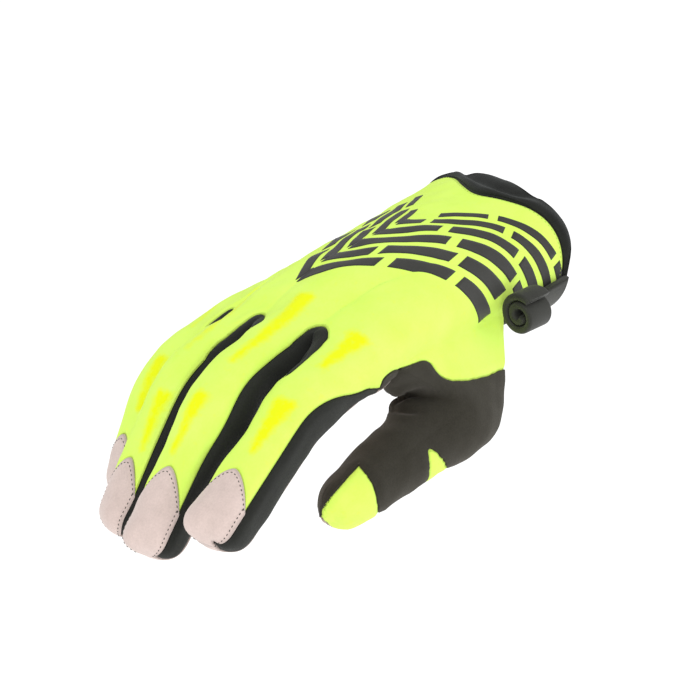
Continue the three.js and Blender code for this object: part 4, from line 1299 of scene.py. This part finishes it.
def build_piece(name: str, points: np.ndarray, faces: np.ndarray, materials: list[bpy.types.Material],
                flat: np.ndarray | None = None, values: dict[str, np.ndarray] | None = None,
                chosen: np.ndarray | None = None) -> bpy.types.Object:
    """Put a whole mesh into the scene at once.

    Args:
        name: Name of the piece.
        points: Points in millimetres.
        faces: Faces as point numbers, all with the same number of corners.
        materials: Materials of the piece.
        flat: Flat places of the face corners in millimetres, kept as the UV map.
        values: Numbers at the points, kept as attributes.
        chosen: Number of each face's material.

    Returns:
        The new object.
    """
    mesh = bpy.data.meshes.new(name)
    mesh.vertices.add(len(points))
    mesh.vertices.foreach_set("co", (points * METRES).astype(np.float32).ravel())
    mesh.loops.add(faces.size)
    mesh.loops.foreach_set("vertex_index", faces.astype(np.int32).ravel())
    mesh.polygons.add(len(faces))
    mesh.polygons.foreach_set("loop_start", np.arange(0, faces.size, faces.shape[1], dtype=np.int32))
    mesh.polygons.foreach_set("use_smooth", np.ones(len(faces), bool))
    if chosen is not None:
        mesh.polygons.foreach_set("material_index", chosen.astype(np.int32))
    mesh.update(calc_edges=True)
    if flat is not None:
        places = (flat * FLAT_SCALE).astype(np.float32).ravel()
        mesh.uv_layers.new(name="flat").data.foreach_set("uv", places)
    for key, number in (values or {}).items():
        mesh.attributes.new(key, "FLOAT", "POINT").data.foreach_set("value", number.astype(np.float32))
    for material in materials:
        mesh.materials.append(material)
    piece = bpy.data.objects.new(name, mesh)
    bpy.context.scene.collection.objects.link(piece)
    LOG.info("%s: %d faces", name, len(faces))
    return piece


def loft(rings: np.ndarray) -> tuple[np.ndarray, np.ndarray]:
    """Close a row of rings into a solid, with a fan over each end and its faces turned outwards.

    Args:
        rings: Points, rings by points round each.

    Returns:
        Points and triangles.
    """
    count, around = rings.shape[:2]
    number = np.arange(count * around).reshape(count, around)
    beside = np.roll(number, -1, axis=1)
    faces = [halves(number[:-1], beside[:-1], beside[1:], number[1:])]
    for end, (one, two) in enumerate(((beside[0], number[0]), (number[-1], beside[-1]))):
        faces.append(np.stack([one, two, np.full(around, count * around + end)], axis=1))
    points = np.concatenate([rings.reshape(-1, 3), rings[[0, -1]].mean(axis=1)])
    return points, outward(points, np.concatenate(faces))


def rounded_outline(width: float, thick: float, radius: float, steps: int) -> np.ndarray:
    """Outline of a flat bar with rounded corners, as columns across and up."""
    turn = np.linspace(0, math.pi / 2, steps)
    corners = []
    for k, (x, y) in enumerate(((1, 1), (-1, 1), (-1, -1), (1, -1))):
        a = turn + k * math.pi / 2
        corners.append(np.stack([x * (width / 2 - radius) + radius * np.cos(a),
                                 y * (thick / 2 - radius) + radius * np.sin(a)], axis=1))
    return np.concatenate(corners)


class Nodes:
    """A material under construction."""

    def __init__(self, name: str) -> None:
        """Start a material from its surface shader."""
        self.material = bpy.data.materials.new(name)
        self.material.use_nodes = True
        self.tree = self.material.node_tree
        self.surface = self.tree.nodes["Principled BSDF"]

    def add(self, kind: str, values: dict[str, object] | None = None, **settings: object) -> bpy.types.Node:
        """Add a node, set its options and its inputs; a socket given as an input is linked.

        Args:
            kind: Type of the node without its common first part.
            values: Inputs by name or number.
            settings: Options of the node.

        Returns:
            The node.
        """
        node = self.tree.nodes.new("ShaderNode" + kind)
        for key, option in settings.items():
            setattr(node, key, option)
        for key, value in (values or {}).items():
            self.feed(node.inputs[key], value)
        return node

    def feed(self, socket: bpy.types.NodeSocket, value: object) -> None:
        """Link an input to a socket, or set it to a constant."""
        if isinstance(value, bpy.types.NodeSocket):
            self.tree.links.new(value, socket)
        else:
            socket.default_value = value

    def noise(self, size: float, detail: float = 3.0, rough: float = 0.6) -> bpy.types.NodeSocket:
        """Uneven spots of about one size in millimetres, from the place on the object."""
        place = self.add("TexCoord").outputs["Object"]
        return self.add("TexNoise", {"Vector": place, "Scale": 1000 / size, "Detail": detail,
                                     "Roughness": rough}).outputs["Fac"]

    def maths(self, operation: str, one: object, two: object = 0.0,
              three: object = 0.0) -> bpy.types.NodeSocket:
        """Result of a sum on one to three values."""
        return self.add("Math", {0: one, 1: two, 2: three}, operation=operation).outputs[0]

    def spread(self, value: bpy.types.NodeSocket, low: float, high: float, to_low: float,
               to_high: float) -> bpy.types.NodeSocket:
        """Value moved from one range to another and kept in it."""
        return self.add("MapRange", {"Value": value, "From Min": low, "From Max": high, "To Min": to_low,
                                     "To Max": to_high}).outputs["Result"]

    def blend(self, share: bpy.types.NodeSocket, one: object, two: object) -> bpy.types.NodeSocket:
        """Colour between two colours."""
        node = self.add("Mix", {"Factor": share, 6: one, 7: two}, data_type="RGBA")
        return node.outputs[2]

    def threads(self, size: float) -> bpy.types.NodeSocket:
        """Height of a weave: two crossing sets of threads in the cloth's own flat places."""
        flat = self.add("SeparateXYZ", {0: self.add("UVMap", uv_map="flat").outputs[0]})
        scale = 2 * math.pi / (size * FLAT_SCALE)
        waves = [self.maths("SINE", self.maths("MULTIPLY", flat.outputs[k], scale)) for k in (0, 1)]
        return self.maths("MULTIPLY_ADD", self.maths("MULTIPLY", waves[0], waves[1]), 0.5, 0.5)

    def put(self, values: dict[str, object]) -> None:
        """Set or link inputs of the surface."""
        for key, value in values.items():
            self.feed(self.surface.inputs[key], value)


SPOTS, MIDDLING = (0.35, 0.68), (0.3, 0.7)
ROUGH_CHANGE = 0.08
# Painted shade patches: spot size and unevenness of the deeper yellow, and the range it is spread over.
PAINTED_SHADE_SPOT, PAINTED_SHADE_UNEVEN, PAINTED_SHADE_RANGE = 2.6, 0.22, (0.1, 0.95)
# Painted seam shade: range of the gap to the seam over which it fades, and how dark it gets.
SEAM_SHADE_RANGE, SEAM_SHADE_DARK = (0.1, 1.1), 0.4
COARSE_SIZE, COARSE_SHARE, FINE_SHARE = 3, 0.4, 0.6
SPECULAR, SHEEN_ROUGH = 0.25, 0.6


@dataclass(frozen=True)
class Finish:
    """A cloth, leather or rubber finish.

    Colours are linear. The mottle is a cloudy change of colour, the grain a fine one, and the weave the
    crossing of threads.
    """

    name: str
    slot: str
    colour: tuple[float, float, float]
    shade: tuple[float, float, float]
    roughness: float = 0.8
    mottle: float = 9.0
    grain: float = 0.9
    grain_shade: float = 0.3
    thread: float = 0.0
    bump: float = 0.12
    sheen: float = 0.25
    sheen_tint: tuple[float, float, float] = (1, 1, 1)
    # Painted glow: emission of the colour, which keeps the cloth bright in its shade though it is no lamp.
    painted_glow: float = 0.0
    # Painted seam shade: how much the colour darkens beside the seams, where shade falls in the grooves.
    edge: float = 0.0
    # Deeper colour of the painted shade, laid where soft dents fall in shade.
    patch: tuple[float, float, float] | None = None

    def build(self) -> bpy.types.Material:
        """Make the material."""
        make = Nodes(self.name)
        cloud, grain = make.noise(self.mottle), make.noise(self.grain, 4.0, 0.7)
        spots = [make.spread(value, *SPOTS, 0.0, share) for value, share in (
            (cloud, 1 - self.grain_shade), (grain, self.grain_shade))]
        amount = make.maths("ADD", *spots)
        colour = make.blend(amount, (*self.colour, 1), (*self.shade, 1))
        # Painted shade: a deeper colour blended in by a point attribute, where soft dents fall in shade.
        if self.patch:
            mask = make.add("Attribute", attribute_name="patch").outputs["Fac"]
            uneven = make.maths("ADD", mask, make.spread(
                make.noise(PAINTED_SHADE_SPOT), *MIDDLING, -PAINTED_SHADE_UNEVEN, PAINTED_SHADE_UNEVEN))
            colour = make.blend(make.spread(uneven, *PAINTED_SHADE_RANGE, 0.0, 1.0), colour, (*self.patch, 1))
        # Painted seam shade: the colour darkens towards the seams.
        if self.edge:
            gap = make.add("Attribute", attribute_name="seam").outputs["Fac"]
            colour = make.blend(make.spread(gap, *SEAM_SHADE_RANGE, self.edge, 0.0), colour,
                                (*(SEAM_SHADE_DARK * c for c in self.shade), 1))
        coarse = make.maths("MULTIPLY", make.noise(self.grain * COARSE_SIZE), COARSE_SHARE)
        height = make.maths("MULTIPLY_ADD", grain, FINE_SHARE, coarse)
        if self.thread:
            height = make.maths("MULTIPLY_ADD", make.threads(self.thread), FINE_SHARE, height)
        bump = make.add("Bump", {"Strength": 1.0, "Distance": self.bump * METRES, "Height": height})
        rough = make.spread(grain, *MIDDLING, self.roughness - ROUGH_CHANGE,
                            min(1.0, self.roughness + ROUGH_CHANGE))
        make.put({"Base Color": colour, "Roughness": rough, "Normal": bump.outputs[0],
                  "Specular IOR Level": SPECULAR, "Sheen Weight": self.sheen,
                  "Sheen Roughness": SHEEN_ROUGH, "Sheen Tint": (*self.sheen_tint, 1)})
        # Painted glow: the cloth emits its own colour, as if lit in its shade.
        if self.painted_glow:
            make.put({"Emission Color": colour, "Emission Strength": self.painted_glow})
        return make.material


class Cloth(Enum):
    """Finishes of the glove."""

    # Yellow cloth: painted glow, painted seam shade and painted shade patches in a deeper yellow.
    YELLOW = Finish("yellow_cloth", "yellow_fabric", (0.67, 0.92, 0.15), (0.62, 0.87, 0.105), 0.82, 16, 0.8,
                    0.35, 0.62, 0.05, 0.12, (0.9, 1.0, 0.5), 0.2, 0.5, (0.76, 0.85, 0.0))
    # Suede with painted seam shade.
    SUEDE = Finish("pale_suede", "palm_suede", (0.77, 0.62, 0.57), (0.62, 0.5, 0.455), 0.95, 5, 0.7, 0.55,
                   0.0, 0.16, 0.5, (1, 0.93, 0.9), 0.0, 0.35)
    STRETCH = Finish("black_stretch_knit", "black_stretch", (0.016, 0.017, 0.014), (0.011, 0.012, 0.0095),
                     0.82, 8, 0.6, 0.5, 0.55, 0.06, 0.1, (0.8, 0.82, 0.8))
    THUMB = Finish("brown_black_suede", "thumb_suede", (0.031, 0.028, 0.02), (0.02, 0.018, 0.012), 0.92, 4,
                   0.5, 0.6, 0.0, 0.12, 0.14, (0.9, 0.85, 0.75))
    CUFF = Finish("brushed_knit", "cuff_knit", (0.016, 0.017, 0.015), (0.009, 0.0095, 0.008), 0.9, 3, 0.5,
                  0.5, 0.8, 0.16, 0.14, (0.8, 0.85, 0.85))
    RUBBER = Finish("moulded_rubber", "strap_rubber", (0.034, 0.035, 0.029), (0.022, 0.023, 0.018), 0.6, 7,
                    0.35, 0.4, 0.0, 0.05, 0.1)
    PRINT = Finish("black_print", "strap_rubber", (0.038, 0.038, 0.033), (0.032, 0.032, 0.028), 0.6, 12,
                   0.6, 0.4, 0.0, 0.03, 0.1)
    DARK_THREAD = Finish("dark_thread", "black_stretch", (0.05, 0.047, 0.035), (0.03, 0.03, 0.02), 0.7, 2,
                         0.3, 0.5, 0.0, 0.03, 0.2)
    OLIVE_THREAD = Finish("olive_thread", "yellow_fabric", (0.5, 0.7, 0.09), (0.42, 0.6, 0.07), 0.7, 2,
                          0.3, 0.5, 0.0, 0.03, 0.2)
    LINING = Finish("grey_lining", "black_stretch", (0.16, 0.16, 0.155), (0.12, 0.12, 0.115), 0.9, 6, 0.5,
                    0.5, 0.9, 0.08, 0.3)


class Studio:
    """Camera, lights, world and floor."""

    image = 700
    sensor = 36
    world_strength = 0.62
    floor_size, floor_height, floor_glow = 3, -0.25, 0.45
    aim = (-0.1, 0, -0.02)
    lamps = (("key", (-0.75, -0.65, 1.15), 0.9, 9.0), ("fill", (0.9, -0.9, 0.35), 1.0, 3.0))

    def build(self) -> None:
        """Put everything round the glove that isn't part of it."""
        self.camera()
        self.world()
        self.floor()
        for lamp in self.lamps:
            self.lamp(*lamp)

    def camera(self) -> None:
        """Place the camera where the photograph was taken from, looking at the picture's middle."""
        data = bpy.data.cameras.new("camera")
        camera = bpy.data.objects.new("camera", data)
        bpy.context.scene.collection.objects.link(camera)
        bpy.context.scene.camera = camera
        focal = Eye.scale * Eye.distance
        half = self.image / 2
        look = (-Eye.toward * focal + Eye.right * (half - Eye.middle[0]) - Eye.up * (half - Eye.middle[1]))
        back = -unit(look)
        side = unit(Eye.right - back * (Eye.right @ back))
        axes = np.stack([side, np.cross(back, side), back, Eye.toward * Eye.distance * METRES], axis=1)
        camera.matrix_world = Matrix([*axes.tolist(), [0, 0, 0, 1]])
        data.sensor_width = self.sensor
        data.lens = focal / self.image * self.sensor
        data.clip_start, data.clip_end = 0.05, 20

    def world(self) -> None:
        """Plain white surroundings."""
        world = bpy.data.worlds.new("white_room")
        bpy.context.scene.world = world
        world.use_nodes = True
        background = world.node_tree.nodes["Background"]
        background.inputs["Color"].default_value = (1, 1, 1, 1)
        background.inputs["Strength"].default_value = self.world_strength
        bpy.context.scene.view_settings.view_transform = "Standard"

    def floor(self) -> None:
        """Plain pale floor well below the glove."""
        corners = np.array([(-1, -1), (1, -1), (1, 1), (-1, 1)]) * self.floor_size
        points = np.column_stack([corners, np.full(4, self.floor_height)]) / METRES
        make = Nodes("pale_floor")
        make.put({"Base Color": (0.9, 0.9, 0.9, 1), "Roughness": 1.0, "Specular IOR Level": 0.0,
                  "Emission Color": (1, 1, 1, 1), "Emission Strength": self.floor_glow})
        build_piece("floor", points, np.array([[0, 1, 2, 3]]), [make.material])

    def lamp(self, name: str, place: tuple[float, float, float], size: float, power: float) -> None:
        """Large soft lamp that faces the glove."""
        data = bpy.data.lights.new(name, "AREA")
        data.size, data.energy = size, power
        lamp = bpy.data.objects.new(name, data)
        lamp.location = place
        lamp.rotation_euler = (Vector(self.aim) - Vector(place)).to_track_quat("-Z", "Y").to_euler()
        bpy.context.scene.collection.objects.link(lamp)


CUTS = (
    Cut(Panel.BACK, Cloth.YELLOW, 1.15),
    Cut(Panel.PALM, Cloth.SUEDE, 1.2, 0.42, -0.5, 0.4, 0.1, 0.1),
    *(Cut(panel, Cloth.STRETCH, 1.0) for panel in SIDES),
    Cut(Panel.THUMB, Cloth.THUMB, 1.1, 0.2, -0.2, 0.4, 0.15, 0.1, folds=(
        Fold(((390, 406), (397, 402), (408, 395), (420, 391)), 1.5, 1.3),
        Fold(((388, 410), (396, 410.5), (407, 411), (421, 412)), 1.3, 1.2),
    )),
    Cut(Panel.THUMB_TIP, Cloth.YELLOW, 1.1),
    Cut(Panel.GUSSET, Cloth.YELLOW, 1.1),
    Cut(Panel.CUFF, Cloth.CUFF, 2.4, 0.3, 0.1, 0.9, 0.6, 0.4, "padded", folds=(
        Fold(((462, 170), (467, 175), (477, 180), (489, 185), (501, 190), (513, 194), (524, 196),
              (536, 198)), 1.5, 1.2),
    )),
)
# Painted shade: wedges of deeper yellow along soft dents on the backs of the hand and fingers, where shade
# falls.
PAINTED_SHADE_PATCHES = (
    (((-107.4, -9.9, 14.4), (-126.7, -13.4, 9.5), (-148.1, -14.7, 4.7)), 3.9, 1.4, 1.0),
    (((-111.9, -39.7, 9.2), (-131.9, -41.0, 5.2)), 4.4, 1.5, 1.0),
    (((-150.0, -42.0, -0.3), (-159.0, -42.9, -5.2), (-167.7, -43.8, -11.8)), 4.6, 1.5, 1.0),
    (((-162.0, -15.0, -1.9), (-170.5, -15.0, -9.0), (-176.7, -14.6, -17.9)), 3.4, 1.4, 1.0),
    (((-155.1, 12.1, -12.2), (-162.0, 12.0, -20.5), (-167.2, 11.7, -29.5)), 3.3, 1.0, 1.0),
    (((-132.8, 36.9, -14.3), (-140.0, 37.0, -22.0), (-145.6, 36.8, -30.0)), 3.1, 1.8, 1.0),
    (((-97.5, 24.0, 5.0), (-122.0, 16.0, 4.0), (-141.0, 15.0, -1.9)), 3.3, 1.3, 0.6),
    (((-106.1, 37.6, -3.9), (-118.9, 37.0, -7.9)), 2.0, 1.0, 0.45),
)
# Soft edge of the painted shade wedges, in millimetres.
PAINTED_SHADE_FADE = 4.0
PRINT_POINTS = (7, 17)
PRINT_MIDDLE, PRINT_SLOPES, PRINT_LEAN = 58, (0.62, 1.35), 1.8
PRINT_ABOVE, PRINT_BELOW = 0.13, 0.12
PRINT = (
    (86, 7, ((58, 37), (34.5, 20), (17.5, 2)), ((58, 69), (71, 79))),
    (75.5, 7, ((58, 45), (42.5, 26), (23.5, 8.5)), ((58, 74), (76, 82))),
    (65, 6.5, ((58, 33), (30.5, 12), (9.5, 1)), ((58, 66), (68, 80))),
    (55, 6, ((58, 40), (37.5, 19), (16.5, 1)), ((58, 71), (73, 79))),
    (45.5, 5.5, ((58, 50), (47.5, 28), (25.5, 1)), ((58, 66),)),
    (36.5, 5, ((50, 36), (33.5, 14), (11.5, 1)), ()),
)


@dataclass(frozen=True)
class Strap:
    """Sizes of the wrist strap and of the roll at its end: millimetres, degrees and shares of the hand."""

    width: float = 22.0
    thick: float = 2.4
    start: float = -44.0
    finish: float = -167.0
    slant: float = 4.0
    places: tuple[float, float] = (0.13, 0.125)
    flare: float = 1.1
    clear: float = 2.0
    tab_width: float = 12.2
    tab_thick: float = 2.7
    turns: float = 1.8
    pitch: float = 3.2
    radius: float = 8.8
    twist: float = 0.6
    seat: tuple[float, float, float] = (0.36, -169.5, 8.6)
    rings: int = 61
    corner: float = 1.0
    tab_rings: int = 90
    tab_corner: float = 1.2
    corner_steps: int = 6


STRAP = Strap()
CAP_PITCH, EDGE_PITCH = 1.6, 1.8
STITCH_LENGTH, STITCH_RADIUS, STITCH_LIFT, STITCH_LOOK = 0.75, 0.15, 0.06, 0.4
ROD_SHAPE, ROD_SIDES = ((-0.5, 0.35), (-0.36, 1), (0.36, 1), (0.5, 0.35)), 6


class Glove:
    """The whole glove, dressed from its skin."""

    def __init__(self) -> None:
        """Work out the skin and the materials."""
        self.skin = Skin()
        self.materials = {cloth: cloth.value.build() for cloth in Cloth}

    def build(self) -> None:
        """Make every piece."""
        for cut in CUTS:
            self.panel(cut)
        self.print()
        self.strap()
        self.tab()
        self.stitches()

    def print(self) -> None:
        """Black print: rows of broken slanted bars, thin plates laid on the back of the hand."""
        numbers = self.skin.grids["hand"][:, :BACK_PART + 1]
        normal = self.skin.normals[numbers]
        ground = self.skin.points[numbers] + normal * CUTS[0].height(self.skin)[numbers][..., None]
        (rows, columns), cells = PRINT_POINTS, []
        for apex, thick, *arms in PRINT:
            for arm, slope in zip(arms, PRINT_SLOPES):
                for near, far in arm:
                    lean = PRINT_LEAN * np.linspace(-0.5, 0.5, rows)[:, None] * np.sign(near - far)
                    across = mix(near, far, np.linspace(0, 1, columns))[None] + lean
                    drop = slope * np.abs(across - PRINT_MIDDLE)
                    along = apex - drop - thick * np.linspace(0, 1, rows)[:, None]
                    cells.append(self.plate(ground, normal, along, across))
        points = np.concatenate([c[0] for c in cells])
        step = np.cumsum([0] + [len(c[0]) for c in cells[:-1]])
        faces = np.concatenate([c[1] + n for c, n in zip(cells, step)])
        self.dress("back_print", points, faces, Cloth.PRINT)

    @staticmethod
    def plate(ground: np.ndarray, normal: np.ndarray, along: np.ndarray,
              across: np.ndarray) -> tuple[np.ndarray, np.ndarray]:
        """A thin closed plate that lies on the grid of the hand.

        Args:
            ground: Points of the hand's back, rows by columns.
            normal: Normals there.
            along: Row of each point of the plate, with fractions.
            across: Column of each point of the plate, with fractions.

        Returns:
            Points and triangles.
        """
        along = np.clip(along + 0 * across, 0, ground.shape[0] - 1.001)
        across = np.clip(across + 0 * along, 0, ground.shape[1] - 1.001)
        r, c = along.astype(int), across.astype(int)
        u, w = (along - r)[..., None], (across - c)[..., None]

        def at(values: np.ndarray) -> np.ndarray:
            """Values between the grid's points."""
            ahead = mix(values[r + 1, c], values[r + 1, c + 1], w)
            return mix(mix(values[r, c], values[r, c + 1], w), ahead, u)

        place, up = at(ground), unit(at(normal))
        points = np.stack([place + up * PRINT_ABOVE, place - up * PRINT_BELOW])
        count = along.size
        top, low = np.arange(2 * count).reshape(2, *along.shape)
        rim = np.concatenate([top[0, :-1], top[:-1, -1], top[-1, :0:-1], top[:0:-1, 0]])
        faces = np.concatenate([
            halves(top[:-1, :-1], top[:-1, 1:], top[1:, 1:], top[1:, :-1]),
            halves(low[:-1, :-1], low[1:, :-1], low[1:, 1:], low[:-1, 1:]),
            halves(rim, rim + count, np.roll(rim + count, -1), np.roll(rim, -1)),
        ])
        points = points.reshape(-1, 3)
        return points, outward(points, faces)

    def panel(self, cut: Cut) -> None:
        """Make one panel and hide the imported part that it stands for."""
        shell = Shell(self.skin, cut)
        values = {"seam": shell.seam_gap}
        # Painted shade goes to a point attribute that the yellow material reads.
        if cut.cloth.value.patch:
            values["patch"] = self.painted_shade_patches()[shell.used]
        piece = build_piece(cut.panel.value + "_cloth", shell.points, shell.faces,
                            [self.materials[cut.cloth], self.materials[Cloth.LINING]], shell.flat, values,
                            shell.lining)
        self.settle(piece, cut.cloth.value.slot, cut.panel.value)
        if cut.held == "padded":
            return

    def painted_shade_patches(self) -> np.ndarray:
        """Strength of the painted shade (deeper yellow) at every point: wedges with a square wide end on the
        fingers.
        """
        mask = np.zeros(len(self.skin.points))
        for line, wide, narrow, strength in PAINTED_SHADE_PATCHES:
            path = np.array(line)
            gap, share = self.skin.near_line(self.skin.points, path)
            past = (path[0] - self.skin.points) @ unit(path[1] - path[0])
            inside = smooth((mix(wide, narrow, share) - gap) / PAINTED_SHADE_FADE + 0.5)
            inside = inside * smooth(0.5 - past / PAINTED_SHADE_FADE)
            mask = np.maximum(mask, inside * strength)
        return mask

    @staticmethod
    def settle(piece: bpy.types.Object, slot: str, *nodes: str) -> None:
        """Fix a piece to the glove's body, and hide the imported parts that it stands for."""
        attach(piece, "root")
        if nodes:
            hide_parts(*nodes)

    def dress(self, name: str, points: np.ndarray, faces: np.ndarray, cloth: Cloth, *nodes: str) -> None:
        """Make a piece of one finish and settle it."""
        self.settle(build_piece(name, points, faces, [self.materials[cloth]]), cloth.value.slot, *nodes)

    def wrist_point(self, at: np.ndarray, heading: np.ndarray, out: np.ndarray) -> np.ndarray:
        """Point a little outside the wrist's oval."""
        section = self.skin.hand.section(at)
        for key in ("half", "back", "palm"):
            section[key] = section[key] + out
        y, z = self.skin.hand.oval(section, heading)
        return np.stack([-SIZE.hand_length * at, y, z], axis=-1)

    def strap(self) -> None:
        """Wrist strap: a rounded bar carried round the wrist from the palm to the thumb side."""
        t = np.linspace(0, 1, STRAP.rings)[:, None]
        outline = rounded_outline(STRAP.width, STRAP.thick, STRAP.corner, STRAP.corner_steps)[None]
        side = outline[..., 0] / (STRAP.width / 2)
        half = STRAP.width / SIZE.hand_length / 2 * mix(1, STRAP.flare, t)
        at = mix(*STRAP.places, smooth(t)) + side * half
        heading = mix(STRAP.start, STRAP.finish + STRAP.slant * side, t)
        rings = self.wrist_point(at, heading, STRAP.clear + outline[..., 1] + 0 * t)
        self.dress("wrist_strap_rubber", *loft(rings), Cloth.RUBBER, "wrist_strap")

    def tab(self) -> None:
        """Pull tab: the strap's end rolled up, a rounded bar carried along a spiral."""
        turn = np.linspace(0, 2 * math.pi * STRAP.turns, STRAP.tab_rings)[:, None]
        outline = rounded_outline(
            STRAP.tab_width, STRAP.tab_thick, STRAP.tab_corner, STRAP.corner_steps)[None]
        radius = STRAP.radius - STRAP.tab_thick / 2 - STRAP.pitch * turn / (2 * math.pi) + outline[..., 1]
        seat = self.wrist_point(*(np.array(value) for value in STRAP.seat))
        x = STRAP.tab_width / 2 + outline[..., 0] + 0 * turn
        spiral = [x, radius * np.sin(turn - STRAP.twist), radius * np.cos(turn - STRAP.twist)]
        self.dress("pull_tab_rubber", *loft(seat + np.stack(spiral, axis=-1)), Cloth.RUBBER, "pull_tab")

    def stitches(self) -> None:
        """Rows of stitches beside the seams."""
        grids, cap = self.skin.grids, CAP_ROW * STEP.finger
        suede = CUTS[1].height(self.skin)
        yellow = CUTS[0].height(self.skin)
        dark, olive = [], []
        for finger in FINGERS:
            back = grids[f"{finger.name}_back"]
            dark.append(self.stitch_row(back[cap + 2, 1:-1], suede, CAP_PITCH))
            dark += [self.stitch_row(back[cap + 2:, c], suede, CAP_PITCH) for c in (2, -3)]
        olive.append(self.stitch_row(grids["hand"][2, :BACK_PART], yellow, EDGE_PITCH))
        for name, rows, cloth in (("cap_stitches", dark, Cloth.DARK_THREAD),
                                  ("seam_stitches", olive, Cloth.OLIVE_THREAD)):
            points, faces = self.capsules(np.concatenate(rows), STITCH_LENGTH, STITCH_RADIUS)
            self.dress(name, points, faces, cloth)

    def stitch_row(self, path: np.ndarray, height: np.ndarray, pitch: float) -> np.ndarray:
        """Places, ways and normals of stitches along a line of points.

        Args:
            path: Point numbers of the line.
            height: Height of the panel over the skin at every point.
            pitch: Distance from stitch to stitch.

        Returns:
            One row for each stitch: place, way along the line and normal.
        """
        normal = self.skin.normals[path]
        line = self.skin.points[path] + normal * (height[path] + STITCH_LIFT)[:, None]
        run = np.concatenate([[0], np.linalg.norm(np.diff(line, axis=0), axis=1).cumsum()])
        at = np.arange(pitch / 2, run[-1], pitch)

        def between(values: np.ndarray, shift: float) -> np.ndarray:
            """Values along the line at the stitches, moved on by a distance."""
            return np.stack([np.interp(at + shift, run, column) for column in values.T], axis=1)

        way = unit(between(line, STITCH_LOOK) - between(line, -STITCH_LOOK))
        return np.concatenate([between(line, 0), way, unit(between(normal, 0))], axis=1)

    @staticmethod
    def capsules(rows: np.ndarray, length: float, radius: float) -> tuple[np.ndarray, np.ndarray]:
        """Small rods that narrow at their ends, one on each row's place.

        Args:
            rows: Place, way and normal of each rod.
            length: Length of a rod.
            radius: Its radius.

        Returns:
            Points and triangles.
        """
        along, thick = np.array(ROD_SHAPE).T * [[length], [radius]]
        turn = np.arange(ROD_SIDES) * 2 * math.pi / ROD_SIDES
        place, way, up = (rows[:, None, None, k:k + 3] for k in (0, 3, 6))
        ring = (place + way * along[None, :, None, None]
                + np.cross(way, up) * np.outer(thick, np.cos(turn))[None, ..., None]
                + up * np.outer(thick, np.sin(turn))[None, ..., None])
        number = np.arange(ring.size // 3).reshape(ring.shape[:3])
        beside = np.roll(number, -1, axis=2)
        fan = np.array([(0, k, k + 1) for k in range(1, ROD_SIDES - 1)])
        faces = np.concatenate([
            halves(number[:, :-1], number[:, 1:], beside[:, 1:], beside[:, :-1]),
            number[:, 0][:, fan].reshape(-1, 3), number[:, -1][:, fan[:, ::-1]].reshape(-1, 3),
        ])
        points = ring.reshape(-1, 3)
        return points, outward(points, faces)


def main() -> None:
    """Build the studio and the glove."""
    Studio().build()
    Glove().build()


if __name__ == "__main__":
    logging.basicConfig(level=logging.INFO, format="%(message)s")
    main()
